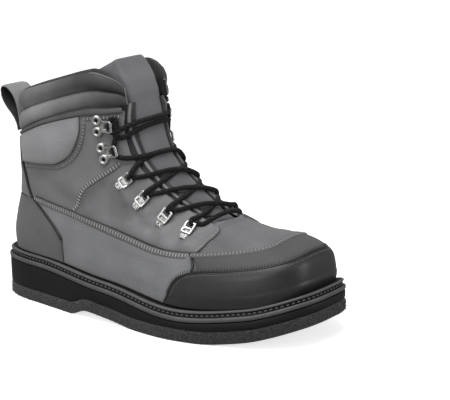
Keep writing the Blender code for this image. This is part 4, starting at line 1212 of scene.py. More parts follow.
def build_welt_stitches(tree):
    """Dashes of thick thread in the welt's groove."""
    sizes = sizes_now()
    ring = ring_of(sole_outline(2.5 * MM), over(platform_line, -3.8 * MM))
    inner = ring_of(sole_outline(3.5 * MM), over(platform_line, -3.8 * MM))
    ring, outward = np.vstack([ring, ring[:1]]), unit(np.vstack([ring - inner, (ring - inner)[:1]]))
    values = {"Spacing": 4.4 * MM, "Length": 3.0 * MM, "Width": 1.5 * sizes.stitch_width,
              "Height": 1.1 * sizes.stitch_width, "Turn": 0.0, "Wobble": 0.03, "Seed": 2,
              "Thread": finishes()["grey_thread"]}
    stitches = grown("welt_stitches", path_mesh("welt_path", [(ring, outward)]), tree, values)
    return place_piece(stitches, "lace")


def build_footbed():
    """The insole, cupped a little at its rim, which is seen down the shaft."""
    inner = UPPER_WALL + 2.5 * MM
    low = -WELT_THICKNESS
    high = low + INSOLE_THICKNESS
    steps = ((inner, low), (inner, high + 0.6 * MM), (inner + 1.2 * MM, high + 1.2 * MM),
             (inner + 4 * MM, high + 0.4 * MM), (inner + 9 * MM, high))
    loops = [ring_of(feather_outline(inset), over(platform_line, height)) for inset, height in steps]
    bed = loft("footbed", loops, [finishes()["lining"]], capped=True, crisp=50,
               uv=np.asarray(loops)[..., :2])
    return place_piece(bed, "lining", "insole")


# The upper
def upper_rows(sides, fronts):
    """Rows of (levels, turns): closed loops up to the throat's foot, then open ones to the collar."""
    rows = []
    for i in range(VAMP_ROWS):
        level = np.full(1, THROAT_FOOT * i / (VAMP_ROWS - 1))
        turns = around(float(throat_edge(level)[0]), sides, fronts)
        rows.append((np.full(len(turns), level[0]), turns))
    for i in range(SHAFT_ROWS):
        share = (i + 1) / SHAFT_ROWS
        turns = around(float(throat_edge(mix(THROAT_FOOT, SHAFT_TOP, share))), sides, None)
        top = collar_foot(np.abs(turns)) + 0.25 - 0.5 * np.clip((np.abs(turns) - 0.80) / 0.05, 0, 1)
        rows.append((mix(THROAT_FOOT, top, share), turns))
    return rows


def upper_faces(starts, full, part):
    """Faces of the wall, and how many are on its outer side. full and part are the points in a
    closed and an open row, and starts has the first point of each row and then the total."""
    total, count = starts[-1], len(starts) - 1
    faces = []
    for i, (here, above) in enumerate(zip(starts, starts[1:count])):
        closed = starts[i + 2] - above == full
        for j in range(full if closed else part - 1):
            k = (j + 1) % full
            faces.append((here + k, here + j, above + j, above + k))
    single = len(faces)
    faces += [tuple(total + index for index in reversed(face)) for face in faces]
    top_vamp, last = starts[VAMP_ROWS - 1], starts[count - 1]
    foot = list(range(full)) + [0]
    throat = [top_vamp] + [top_vamp + j for j in range(full - 1, part - 2, -1)]
    throat += [first + part - 1 for first in starts[VAMP_ROWS:count]]
    throat += [last + j for j in range(part - 2, -1, -1)]
    throat += starts[VAMP_ROWS - 1:count - 1][::-1]
    for line in (foot, throat):
        faces += [(a, b, total + b, total + a) for a, b in zip(line, line[1:])]
    return faces, single


def build_upper_leather():
    """The lasted upper with its lining, open at the throat, the collar and the bottom."""
    made = finishes()
    sides = np.concatenate([np.linspace(0, 0.93, 96)[:-1], np.linspace(0.93, 1.0, 10)])
    fronts = np.linspace(0, 1, 30)[1:]
    part = 2 * len(sides) - 1
    rows = upper_rows(sides, fronts)
    level, turn = (np.concatenate(values) for values in zip(*rows))
    starts = [0] + np.cumsum([len(turns) for levels, turns in rows]).tolist()
    faces, single = upper_faces(starts, part + 2 * len(fronts) - 1, part)
    first = np.array([face[0] for face in faces[:single]])
    on_vamp = level[first] < THROAT_FOOT + 0.5
    on_vamp &= np.abs(wrapped(turn[first])) > ring_panel_front(level[first])
    slots = [2 * int(there) for there in on_vamp] + [1] * single + [0] * (len(faces) - 2 * single)
    both = np.concatenate([skin(level, turn), skin(level, turn, -UPPER_WALL)])
    uv = np.tile(np.stack([turn * 0.2, level * 0.012], axis=-1), (2, 1))
    # Painted shade: below level 5.6 the vamp darkens where it turns down the sides, away from its top; this
    # goes in as the edge attribute.
    painted_vamp_side_shade = 0.75 * np.clip((0.86 - np.abs(turn)) / 0.10, 0, 1) * (level < 5.6) * (np.abs(turn) > 0.6)
    leather_wall = new_piece("upper_leather", both, faces, [made["quarter"], made["lining"], made["vamp"]],
                             slots, uv, np.concatenate([painted_vamp_side_shade, painted_vamp_side_shade]))
    recalculate(leather_wall)
    return place_piece(leather_wall, "grey_leather", "upper")


def recalculate(piece):
    """Turns each face of a piece outward by itself."""
    shape = bmesh.new()
    shape.from_mesh(piece.data)
    bmesh.ops.recalc_face_normals(shape, faces=shape.faces)
    shape.to_mesh(piece.data)
    shape.free()


def around(edge, sides, fronts):
    """Turns of one loop, from the outer throat edge round the back and across the front."""
    outer = edge * sides[::-1]
    turns = np.concatenate([outer, -outer[::-1][1:]])
    if fronts is not None:
        ahead = mix(edge, 1.0, fronts)
        turns = np.concatenate([turns, -ahead, ahead[::-1][1:]])
    return turns


def build_panels():
    """Every leather panel that is sewn onto the upper."""
    made = finishes()
    gap = 0.02

    def foot(there):
        return np.full_like(np.asarray(there, float), 0.03)

    panel("toe_cap_leather", [made["toe"]], between(foot, toe_cap_top, TOE_CAP_START, 2 - TOE_CAP_START),
          44, 190, "black_leather", ("toe_cap",), flare=3.0 * MM)
    panel("counter_leather", [made["counter"]], between(foot, counter_top, -COUNTER_END, COUNTER_END),
          44, 130, "dark_leather", ("heel_counter",))
    panel("toe_band", [made["band"]], between(over(toe_cap_top, gap), toe_seam, 0.668, 2 - 0.668),
          18, 190, "grey_leather")
    panel("back_strip", [made["side"]], strip_place, 70, 40, "grey_leather")
    panel("collar_strip", [made["binding"]],
          between(binding_foot, over(collar_foot, -gap), -0.846, 0.846), 8, 200, "dark_leather",
          ("collar_binding",), thickness=1.6 * MM)
    front = [(level, float(ring_panel_front(level))) for level in np.linspace(3.62, RING_PANEL_TOP, 22)]
    rear = [(level, float(ring_panel_rear(level))) for level in np.linspace(5.06, RING_PANEL_TOP, 14)]
    seam = [(level + 0.03, turn) for level, turn in line_of(lower_seam, 0.408, 0.664)]
    top = [(RING_PANEL_TOP, turn) for turn in (0.740, 0.770, 0.799)]
    side_left = [(0.03, 0.335), (1.90, 0.335), (2.40, 0.326), (3.60, 0.290), (4.35, 0.266), (5.05, 0.241),
                 (5.44, 0.244)]
    side_right = [(0.03, 0.591), (1.00, 0.597), (1.67, 0.608), (2.20, 0.627), (2.45, 0.652), (3.60, 0.664)]
    for side, word in ((1, "outer"), (-1, "inner")):
        panel(f"ring_panel_{word}", [made["ring_panel"]],
              patch(side, seam, top, rear, front), 70, 50, "dark_leather", (f"eyestay_{word}",))
        panel(f"side_panel_{word}", [made["side"]],
              patch(side, [(0.03, 0.335), (0.03, 0.46), (0.03, 0.591)], line_of(lower_seam, 0.244, 0.664),
                    side_left, side_right), 50, 90, "grey_leather")
        panel(f"ankle_panel_{word}", [made["ankle"]],
              between(ankle_foot, over(binding_foot, -gap), side * 0.2, side * 0.616), 44, 70,
              "grey_leather", puff=0.8 * MM)


def strip_place(u, v):
    level = mix(5.02, 10.86, u)
    return level, mix(-1.0, 1.0, v) * back_strip_edge(level)


def collar_section(turn, fullness):
    """Sections of the padded collar: two rolls outside, a round top and a padded inside."""
    bulge, pad = 3.8 * MM, 9.5 * MM
    shape = ((0.00, 0.30, 'b'), (0.03, 0.62, 'b'), (0.09, 0.90, 'b'), (0.20, 1.00, 'b'), (0.32, 0.90, 'b'),
             (0.40, 0.62, 'b'), (0.44, 0.20, 'b'), (0.462, -0.10, 'b'), (0.485, 0.25, 'b'),
             (0.53, 0.72, 'b'), (0.62, 1.00, 'b'), (0.74, 1.05, 'b'), (0.85, 0.80, 'b'), (0.94, 0.20, 'b'),
             (0.99, -0.18, 'p'), (1.015, -0.42, 'p'), (1.00, -0.68, 'p'), (0.94, -0.88, 'p'),
             (0.80, -1.00, 'p'), (0.55, -1.02, 'p'), (0.25, -0.98, 'p'), (0.06, -0.86, 'p'),
             (0.00, -0.60, 'p'))
    rows = []
    for share, offset, kind in shape:
        depth = np.where(kind == 'b', bulge, pad) * offset * fullness
        level = mix(collar_foot(np.abs(turn)), collar_top(np.abs(turn)), share)
        rows.append((level, depth))
    return rows


def build_collar():
    """The padded collar, with puckers along its groove. The light piping on its front edge is laid by
    build_collar_piping.
    """
    made = finishes()
    half = np.concatenate([np.linspace(0, 0.84, 120), np.linspace(0.846, COLLAR_END, 12)])
    turns = np.concatenate([-half[::-1], half[1:]])
    fullness = Curve(COLLAR_FULLNESS)(np.abs(turns))
    wave = 0.5 * np.sin(turns * 61) + 0.5 * np.sin(turns * 97 + 1.3)
    ripple = 0.35 * np.sin(turns * 23 + 0.6)
    loops = []
    for row, (level, depth) in enumerate(collar_section(turns, fullness)):
        pucker = 0.30 * MM * wave * math.exp(-((row - 7) / 2.2) ** 2) + 0.45 * MM * ripple * (row < 14)
        point = upper_point(level, turns) + upper_normal(level, turns) * (depth + pucker * fullness)[:, None]
        loops.append(point + np.array([0, 0, 0.0006]))
    loops = np.asarray(loops).transpose(1, 0, 2)
    stations, count = loops.shape[:2]
    faces = grid_faces(stations, count, closed_columns=True)
    faces += end_caps(stations, count)
    slots = [1 if 13 <= i % count < 22 else 0 for i in range(len(faces) - 2)] + [1, 1]
    around_it = np.linspace(0, 0.09, count)[None, :] + 0 * turns[:, None]
    uv = np.stack([turns[:, None] * 0.19 + 0 * around_it, around_it], axis=-1)
    # Painted shade: the edge attribute darkens the collar towards its front ends; it also darkens the top
    # roll.
    painted_front_shade = np.clip((np.abs(turns) - 0.42) / 0.34, 0, 1)[:, None]
    top_roll = 0.75 * np.clip((np.arange(count) - 8) / 2, 0, 1)[None, :]
    dark = np.minimum(1.6, 1.6 * painted_front_shade ** 1.3 + top_roll)
    collar = new_piece("collar_padding", loops, faces, [made["collar"], made["lining"]], slots, uv, dark)
    place_piece(collar, "padded_leather", "collar")


def build_tongue():
    """The padded tongue with a sewn border, tucked under both sides of the throat."""
    made = finishes()
    levels = np.concatenate([np.linspace(TONGUE_FOOT, 13.4, 90), np.linspace(13.45, TONGUE_TOP, 18)])
    across = np.sin(np.linspace(-0.5, 0.5, 71) * np.pi)
    level, share = np.meshgrid(levels, across, indexing="ij")
    turn = wrapped(1.0 - share * (1.0 - tongue_side(level)))
    rounding = np.maximum(0, level - TONGUE_CORNER_FOOT) / (TONGUE_TOP - TONGUE_CORNER_FOOT)
    corner = np.where(share > 0, TONGUE_CORNER[0], TONGUE_CORNER[1])
    here = level - corner * rounding * np.abs(share) ** 2.6
    tuck_in = Curve(((0.76, 0.0115), (0.86, 0.0112), (0.93, 0.0036), (1.00, 0.0030)))
    foot_tuck = Curve(((5.25, 0.0018), (6.0, 0.0013), (7.0, 0.0003), (8.0, 0.0)))
    tuck_share = Curve(((10.2, 0.0), (11.6, 1.0), (14.3, 1.0)))
    lean = Curve(((11.8, 0.0), (12.8, 0.28), (13.6, 0.68), (TONGUE_TOP, 1.0)))
    tuck = UPPER_WALL + 0.8 * MM + foot_tuck(level)
    tuck = mix(tuck, np.maximum(tuck_in(np.abs(turn)), tuck), tuck_share(level))
    tuck = mix(tuck, TONGUE_LEAN, lean(level))
    end = np.clip(np.minimum((level - TONGUE_FOOT) / 0.8, (TONGUE_TOP - level) / 0.5), 0, 1)
    rounded = np.sqrt(1 - (1 - end) ** 2)
    thickness = mix(TONGUE_EDGE, TONGUE_THICKNESS, (1 - np.abs(share) ** 3) * np.maximum(rounded, 0.12))
    border = np.exp(-((np.abs(share) - 0.90) / 0.025) ** 2)
    quilting = 0.25 * MM * border * (level > 8)
    soft = 0.5 * MM * np.sin(level * 2.1 + 3 * share) * (1 - np.abs(share))
    top_round = 1.4 * MM * (1 - rounded) * (level > 13)
    outer = place_on(here, turn, -tuck - quilting + soft - top_round)
    inner = place_on(here, turn, -tuck - thickness + soft + 0.4 * top_round)
    uv = np.stack([share * 0.045, level * 0.012], axis=-1)
    # Painted shade in the edge attribute: darker low down in the throat and over the far half of the tongue;
    # it is also darker towards its top and along its sides.
    painted_tongue_shade = 1.3 * np.clip((9.8 - level) / 2.0, 0, 1) + 0.8 * np.clip((level - 12.8) / 1.2, 0, 1)
    edge = np.maximum(np.clip((np.abs(share) - 0.82) / 0.18, 0, 1) * 0.8, painted_tongue_shade)
    edge = edge + 0.5 * np.clip(-share, 0, 1)
    tongue = slab("tongue_padding", outer, inner, [made["tongue"], made["lining"]], uv, edge, lined=True)
    recalculate(tongue)
    place_piece(tongue, "tongue_leather", "tongue")


def place_on(level, turn, lift):
    return upper_point(level, turn) + upper_normal(level, turn) * np.asarray(lift)[..., None]


def build_gussets():
    """Thin folded leather between the tongue and the throat, one on each side."""
    made = finishes()
    for side, word in ((1, "outer"), (-1, "inner")):
        levels = np.linspace(6.4, 11.3, 70)
        across = np.linspace(0, 1, 26)
        level, share = np.meshgrid(levels, across, indexing="ij")
        edge = throat_edge(level)
        turn = side * (edge - 0.018 + 0.098 * share)
        wander = 0.05 * np.sin(level * 2.3)
        strip = np.exp(-((share - 0.58 - wander) / 0.13) ** 4)
        fade = np.clip((level - 6.4) / 0.5, 0, 1) * np.clip((11.3 - level) / 0.4, 0, 1)
        depth = -2.9 * MM + 1.7 * MM * strip * fade
        outer = place_on(level, turn, depth + 0.9 * MM)
        inner = place_on(level, turn, depth)
        uv = np.stack([share * 0.02, level * 0.012], axis=-1)
        # 1 - strip is the edge attribute: away from the raised strip the gusset is much darker, partly its
        # own darker leather and partly painted shade beside the throat.
        piece = slab(f"gusset_{word}", outer, inner, [made["gusset"]], uv, 1 - strip)
        recalculate(piece)
        place_piece(piece, "tongue_leather")


def build_heel_loop():
    """The pull loop: leather outside, black webbing inside, from the collar's top to its foot."""
    made = finishes()
    top = upper_point(14.0, 0.0)
    steps = np.linspace(0, len(LOOP_BEND) - 1, 110)
    x = top[0] + through(range(len(LOOP_BEND)), [spot[0] for spot in LOOP_BEND], steps) * LOOP_REACH
    z = top[2] + through(range(len(LOOP_BEND)), [spot[1] for spot in LOOP_BEND], steps) * LOOP_DROP
    line = np.stack([x, z], axis=-1)
    ahead = unit(np.gradient(line, axis=0))
    out = np.stack([-ahead[:, 1], ahead[:, 0]], axis=-1)
    out *= 1.0 if out[6, 0] > 0 else -1.0
    y = np.linspace(-1, 1, 15) * LOOP_WIDTH / 2
    thickness = 1.5 * MM * np.sqrt(np.clip(1 - (np.abs(y) / (0.52 * LOOP_WIDTH)) ** 8, 0.05, 1))
    bottom = np.stack(np.broadcast_arrays(line[:, :1], y[None, :], line[:, 1:]), axis=-1)
    away = np.stack([out[:, 0], np.zeros(len(out)), out[:, 1]], axis=-1)
    surface = bottom + away[:, None, :] * thickness[None, :, None]
    along = reach_along(line)
    uv = np.stack(np.meshgrid(y, along), axis=-1)
    edge = np.tile(np.clip((np.abs(y) - 0.43 * LOOP_WIDTH) / (1.4 * MM), 0, 1) * 0.4, (len(line), 1))
    loop = slab("heel_loop", surface, bottom, [made["loop_face"], made["webbing"]], uv, edge, lined=True)
    recalculate(loop)
    place_piece(loop, "webbing", "pull_loop")


# Seams
def build_seams():
    """Stitches, ladder seams and piping over the whole boot."""
    made = finishes()
    sizes = sizes_now()
    stitches, piping = stitch_tree(), piping_tree()
    top = PANEL_LIFT + sizes.panel + 0.05 * MM
    low = 0.1 * MM
    lower = line_of(lower_seam, 0.250, 0.660, 24)
    diagonal = [(level, float(ring_panel_rear(level))) for level in np.linspace(5.15, 8.45, 16)]
    toe_line = line_of(toe_seam, 0.672, 2 - 0.672, 40)
    ankle = line_of(ankle_foot, 0.215, 0.600, 18) + [(10.9, 0.617)]
    vamp = [(level, float(ring_panel_front(level))) for level in np.linspace(3.7, 5.5, 11)]
    vamp += [(5.62, 0.852), (5.76, 0.880), (5.85, 0.925), (5.88, 0.965), (5.88, 1.0)]
    cap = line_of(toe_cap_top, 0.600, 1.400, 60)
    ladder("ladder_lower", stitches, both_sides(lower), top, 2.5 * MM)
    ladder("ladder_diagonal", stitches, both_sides(diagonal), low, -2.6 * MM)
    ladder("ladder_ankle", stitches, both_sides(ankle), low, 3.4 * MM, 2.8 * MM, "dim_thread", "soft_seam")
    ladder("ladder_binding", stitches, both_sides(line_of(binding_foot, 0.64, 0.82, 8)), low, 2.6 * MM,
           3.0 * MM)
    ladder("ladder_toe", stitches, [toe_line], top, 2.0 * MM, 3.0 * MM, "dim_thread")
    stitch_rows("ladder_cap", stitches, [cap], made["dark_thread"], top, 2.8 * MM, 2.3 * MM, math.pi / 2,
                shift=-1.9 * MM)
    stitch_rows("vamp_rows", stitches, both_sides(vamp), made["thread"], top, shift=-1.6 * MM, width=0.8)
    stitch_rows("vamp_rows_dark", stitches, both_sides(vamp), made["grey_thread"], low,
                shift=1.6 * MM, width=0.8)
    build_welt_stitches(stitches)
    counter_front = line_of(counter_top, 0.236, 0.331, 20)
    back_edges = [(level, float(back_strip_edge(level))) for level in np.linspace(5.05, 10.85, 20)]
    cap_edge = line_of(toe_cap_top, 0.5945, 1.4055, 90)
    piping_line("black_piping", piping, both_sides(back_edges) + [cap_edge], made["piping"], 1.0 * MM)
    piping_line("counter_piping", piping, both_sides(counter_front), made["piping"], 1.6 * MM, 1.25 * MM)
    piping_line("ankle_line", piping, both_sides(line_of(ankle_foot, 0.2, 0.50, 20)), made["piping"],
                0.6 * MM, 0.45 * MM)
    toe_side = [(3.60, 0.666), (2.9, 0.662), (2.5, 0.655)]
    piping_line("seam_cord", piping, both_sides(lower) + both_sides(toe_side), made["piping"], 0.8 * MM,
                0.42 * MM)
    stitch_rows("cap_rows", stitches, [cap], made["grey_thread"], top, shift=2.6 * MM, width=0.7)


def build_collar_piping():
    """The light piping over the collar's front edge, and the seam down its back."""
    made = finishes()
    turns = np.concatenate([np.linspace(0.70, 0.86, 24), np.linspace(0.864, COLLAR_END, 6)])
    tree = bpy.data.node_groups["piping_cord"]
    paths = []
    for side in (1, -1):
        level = mix(collar_foot(turns), collar_top(turns), 0.93)
        outward = upper_normal(level, side * turns)
        height = 1.3 * MM * Curve(COLLAR_FULLNESS)(turns) + (0.3 if side > 0 else -0.5) * MM
        points = upper_point(level, side * turns) + outward * height[:, None]
        end_levels = np.linspace(float(collar_top(COLLAR_END)) - 0.1, 11.3, 8)
        tail = place_on(end_levels, side * COLLAR_END, np.full(8, 1.6 * MM))
        line = np.vstack([points, tail])
        paths.append((line, unit(np.vstack([outward, np.tile(outward[-1], (8, 1))]))))
    values = {"Radius": 0.5 * MM, "Cord": made["light_piping"]}
    place_piece(grown("collar_piping", path_mesh("collar_path", paths), tree, values), "grey_leather")


def build_drain_eyelets():
    """Two small metal eyelets low on the inner side."""
    made = finishes()
    rim_profile = ((1.7, -2.6), (1.7, 0.15), (2.0, 0.5), (2.6, 0.65), (3.2, 0.45), (3.5, 0.0),
                   (3.3, -0.4), (2.1, -2.6))
    plug_profile = ((1.65, -1.4), (1.65, -0.6), (0.1, -0.5))
    angles = np.linspace(0, 2 * np.pi, 36, endpoint=False)
    for number, (level, turn) in enumerate(((1.75, -0.40), (1.75, -0.47)), start=1):
        grommet = frame_at(level, turn, 0.0, PANEL_LIFT + 0.0012)
        rim, plug = ([[grommet @ Vector((r * MM * math.cos(a), r * MM * math.sin(a), z * MM)) for a in angles]
                      for r, z in profile] for profile in (rim_profile, plug_profile))
        place_piece(loft(f"drain_eyelet_{number}", rim, [made["eyelet"]]), "steel")
        place_piece(loft(f"drain_mesh_{number}", plug, [made["rubber"]], capped=True), "black_rubber")


# Hardware
def frame_at(level, turn, lean, offset):
    """A frame on the upper: x towards the throat, z outwards."""
    side = 1 if turn > 0 else -1
    origin = Vector(upper_point(level, turn) + upper_normal(level, turn) * offset)
    ahead = Vector(upper_point(level + lean, turn + 0.04 * side) - upper_point(level, turn))
    outward = Vector(upper_normal(level, turn))
    ahead = (ahead - outward * ahead.dot(outward)).normalized()
    place = Matrix((ahead, outward.cross(ahead), outward)).transposed().to_4x4()
    place.translation = origin
    return place


def tube(points, radius, sides=12, closed=False):
    """A wire of round section through points, as a bmesh."""
    points = np.asarray(points, float)
    if closed:
        ahead = unit(np.roll(points, -1, 0) - np.roll(points, 1, 0))
    else:
        ahead = unit(np.gradient(points, axis=0))
    up = np.tile(np.array([0.0, 0.0, 1.0]), (len(points), 1))
    across = unit(np.cross(ahead, up))
    up = np.cross(across, ahead)
    angles = np.linspace(0, 2 * np.pi, sides, endpoint=False)
    rings = points[:, None] + radius * (np.cos(angles)[None, :, None] * across[:, None]
                                        + np.sin(angles)[None, :, None] * up[:, None])
    faces = grid_faces(len(points), sides, closed_columns=True, closed_rows=closed)
    return solid(rings, faces if closed else faces + end_caps(len(points), sides))


def solid(points, faces):
    shape = bmesh.new()
    verts = [shape.verts.new(point) for point in np.asarray(points).reshape(-1, 3)]
    for face in faces:
        shape.faces.new([verts[i] for i in face])
    bmesh.ops.recalc_face_normals(shape, faces=shape.faces)
    return shape


def rounded_box(low, high, half, corner):
    """A rectangle from low to high along x, with rounded corners."""
    corners = ((high - corner, half - corner), (low + corner, half - corner),
               (low + corner, corner - half), (high - corner, corner - half))
    angles = [[math.radians(90 * i + step) for step in (0, 30, 60, 90)] for i in range(4)]
    return [(x + corner * math.cos(angle), y + corner * math.sin(angle))
            for (x, y), turns in zip(corners, angles) for angle in turns]


def plate_with_slot(length, width, thickness, slot_low, slot_high, slot_half, corner=0.9):
    """A flat plate from x=0 back to -length, with rounded corners and one rectangular slot."""
    outline = rounded_box(-length, 0.0, width / 2, corner)
    window = rounded_box(slot_low, slot_high, slot_half, 0.5)
    soften = 0.22
    rings = [shrunk(window, 0.0, soften), shrunk(window, soften, 0.0), shrunk(outline, soften, 0.0),
             shrunk(outline, 0.0, soften), shrunk(outline, 0.0, thickness - soften),
             shrunk(outline, soften, thickness), shrunk(window, -soften, thickness),
             shrunk(window, 0.0, thickness - soften)]
    return solid(np.asarray(rings) * MM, grid_faces(len(rings), 16, closed_columns=True, closed_rows=True))


def shrunk(outline, amount, height):
    """An outline drawn in towards its middle by an amount, at a height."""
    points = np.asarray(outline, float)
    low, high = points.min(0), points.max(0)
    middle, half = (low + high) / 2, (high - low) / 2
    scaled = middle + (points - middle) * (1 - amount / half)
    return [(x, y, height) for x, y in scaled]


def dome(centre, radius, rise, base, sides=20):
    """A rivet head: a low dome on a short wall."""
    profile = [(1.0, 0.0), (1.0, 0.25)] + [(math.cos(a), 0.25 + 0.75 * math.sin(a))
                                          for a in np.radians((18, 36, 54, 72, 86))]
    angles = np.linspace(0, 2 * np.pi, sides, endpoint=False)
    rings = [[(centre[0] + radius * share * math.cos(a), centre[1] + radius * share * math.sin(a),
               base + rise * height) for a in angles] for share, height in profile]
    faces = grid_faces(len(rings), sides, closed_columns=True) + end_caps(len(rings), sides)
    return solid(np.asarray(rings) * MM, faces)


def rounded_ring(length, width, corner, tilt, height):
    """The centre line of a wire ring with four rounded corners, tilted up towards its front."""
    points = []
    half = width / 2 - corner
    corners = ((length - corner, half), (corner * 0.5, half), (corner * 0.5, -half), (length - corner, -half))
    for i, (x, y) in enumerate(corners):
        for step in (0, 18, 36, 54, 72, 90):
            angle = math.radians(90 * i + step)
            reach = x + corner * (math.cos(angle) if math.cos(angle) > 0 else 0.5 * math.cos(angle))
            across = y + corner * math.sin(angle)
            points.append((reach * math.cos(tilt) * MM, across * MM, (height + reach * math.sin(tilt)) * MM))
    return points


def assembled(name, shapes, place, finishes_used, slots):
    """One piece of hardware from its solids, set into its frame on the boot."""
    mesh = bpy.data.meshes.new(name)
    whole = bmesh.new()
    for shape, slot in zip(shapes, slots):
        for face in shape.faces:
            face.material_index = slot
        part = bpy.data.meshes.new("part")
        shape.to_mesh(part)
        shape.free()
        whole.from_mesh(part)
        bpy.data.meshes.remove(part)
    bmesh.ops.transform(whole, matrix=place, verts=whole.verts)
    whole.to_mesh(mesh)
    whole.free()
    for finish in finishes_used:
        mesh.materials.append(finish)
    mesh.shade_smooth()
    mesh.set_sharp_from_angle(angle=math.radians(38))
    return linked(name, mesh)


RING_TILT = math.radians(13)
RING_HEIGHT = 0.9
RING_BAR = 6.0
HOOK_TILT = math.radians(18)
HOOK_BAR = 12.2


def moved(shape, x, z, tilt=0.0):
    """A shape moved by millimetres and then tilted up towards its front."""
    place = Matrix.Rotation(-tilt, 4, 'Y') @ Matrix.Translation((x * MM, 0, z * MM))
    bmesh.ops.transform(shape, matrix=place, verts=shape.verts)
    return shape


def ring_shapes():
    """A flat lace ring with two windows, its front one tilted up, on a riveted tail."""
    tail = moved(plate_with_slot(9.6, 6.6, 0.8, -5.2, -4.4, 0.8), 0.0, 0.0)
    rear = moved(plate_with_slot(5.8, 9.4, 1.2, -4.3, -1.7, 3.0), 0.8, RING_HEIGHT)
    front = moved(plate_with_slot(6.9, 9.4, 1.2, -5.2, -1.5, 3.1), 6.5, RING_HEIGHT, RING_TILT)
    rivets = [dome((-7.7, side * 1.6), 1.1, 0.8, 0.75, 14) for side in (-1, 1)]
    return [tail, rear, front] + rivets, [1, 0, 0, 0, 0]


def circle(centre, radius, height, count=20):
    angles = np.linspace(0, 2 * np.pi, count, endpoint=False)
    return [((centre[0] + radius * math.cos(a)) * MM, (centre[1] + radius * math.sin(a)) * MM, height * MM)
            for a in angles]


def hook_shapes():
    """Two rolled eyelets with black discs of painted shade in their holes, a plate and a bent loop that ends
    in two thick lobes.
    """
    plate = moved(plate_with_slot(12.8, 8.6, 0.9, -4.2, -1.2, 2.4, corner=1.4), 8.8, 0.1, 0.5 * HOOK_TILT)
    centres = [(-1.8, side * 4.75) for side in (-1, 1)]
    seats = [dome(centre, 4.5, 0.9, 0.1) for centre in centres]
    rims = [tube(circle(centre, 3.0, 1.7), 1.65 * MM, 12, closed=True) for centre in centres]
    # Black rubber discs in the eyelets paint the shade inside their holes.
    hole_shade_discs = [dome(centre, 1.7, 0.5, 0.9, 14) for centre in centres]
    arms = tube(rounded_ring(HOOK_BAR, 8.6, 1.7, HOOK_TILT, 0.9), 0.85 * MM, closed=True)
    x, z = HOOK_BAR * math.cos(HOOK_TILT), 0.9 + HOOK_BAR * math.sin(HOOK_TILT)
    across = (0.35, 0.5, 0.9, 2.2, 3.2, 3.6, 3.75)
    lobes = [tube([(x * MM, side * y * MM, z * MM) for y in across], 1.2 * MM, 14) for side in (-1, 1)]
    return [plate] + seats + rims + hole_shade_discs + [arms] + lobes, [0] * 5 + [2] * 2 + [0] * 3


def build_hardware():
    """Eight lace rings and four lace hooks."""
    made = finishes()
    metals = [made["steel"], made["eyelet"]]
    seat = PANEL_LIFT + sizes_now().panel
    for side, word in ((1, "outer"), (-1, "inner")):
        for i, (level, turn) in enumerate(RING_PLACES):
            place = frame_at(level, side * turn, RING_LEAN[i], seat + RING_SEAT[i] * MM)
            shapes, slots = ring_shapes()
            piece = assembled(f"ring_{word}_{i + 1}", shapes, place, metals, slots)
            place_piece(piece, "steel", f"lace_ring_{word}_{i + 1}")
        for i, (level, turn) in enumerate(HOOK_PLACES):
            place = frame_at(level, side * turn, HOOK_LEAN[i], 0.2 * MM)
            shapes, slots = hook_shapes()
            piece = assembled(f"hook_{word}_{i + 1}", shapes, place, metals + [made["rubber"]], slots)
            place_piece(piece, "steel", f"lace_hook_{word}_{i + 1}")


RING_SEAT = (0.6, 0.9, 0.2, 0.2)


# The lace
def in_frame(place, side, spots):
    """Points given in millimetres in a frame on the boot, mirrored on the inner side."""
    return [place @ (Vector((x, side * y, z)) * MM) for x, y, z in spots]


def through_ring(index, side):
    """Lace points at a ring: in under its front bar, up through it and back over the bar."""
    level, turn = RING_PLACES[index]
    seat = PANEL_LIFT + sizes_now().panel + RING_SEAT[index] * MM
    place = frame_at(level, side * turn, RING_LEAN[index], seat)
    x = RING_BAR * math.cos(RING_TILT)
    z = RING_HEIGHT + 0.6 + RING_BAR * math.sin(RING_TILT)
    local = [(x + 5.5, -2.6, z - 1.2), (x + 1.8, -2.0, z - 2.0), (x - 1.4, -1.1, z - 1.9),
             (x - 2.6, 0.0, z - 0.1), (x - 1.2, 0.7, z + 1.5), (x + 1.6, 0.9, z + 1.9),
             (x + 5.5, 0.9, z + 1.2)]
    return in_frame(place, side, local)


def through_hook(index, side):
    """Lace points at a hook, from below it up behind its loop."""
    level, turn = HOOK_PLACES[index]
    place = frame_at(level, side * turn, HOOK_LEAN[index], 0.2 * MM)
    local = [(12.5, -6.6, 2.2), (9.6, -5.2, 2.4), (8.0, -2.0, 2.2), (8.0, 2.0, 2.2), (9.6, 5.2, 2.4),
             (12.0, 6.8, 2.2)]
    return in_frame(place, side, local)


def along_route(spots, side=1):
    """Points of the lace from (level, turn, height in millimetres) spots, mirrored for the inner side."""
    return [Vector(place_on(level, wrapped(side * turn), height * MM)) for level, turn, height in spots]


def lace_route():
    """The whole lace, from one hidden end up and down through every ring and hook to the other."""
    near, far = 1, -1

    def side_route(side):
        """From the foot bar's ring on one side up to the top hook, crossing over at each row."""
        points = []
        here = side
        for row in range(4):
            points += through_ring(row, here)
            over_top = here == far
            run = [(level, turn, height if over_top else low)
                   for (level, turn, height), low in zip(CROSSINGS[row], (1.6, 1.0, 0.6, 1.0, 1.6))]
            points += along_route(run, -here)
            here = -here
        points += through_hook(0, here)
        points += along_route(((10.30, 0.812, 1.6), (10.95, 0.812, 2.0)), here)
        points += through_hook(1, here)[::-1]
        return points, here

    first, first_side = side_route(near)
    second, second_side = side_route(far)
    bar = along_route(FOOT_BAR)
    first_end = along_route(TOP_RUNS[0], first_side)
    second_end = along_route(TOP_RUNS[1], second_side)
    return first_end[::-1] + first[::-1] + bar + second + second_end


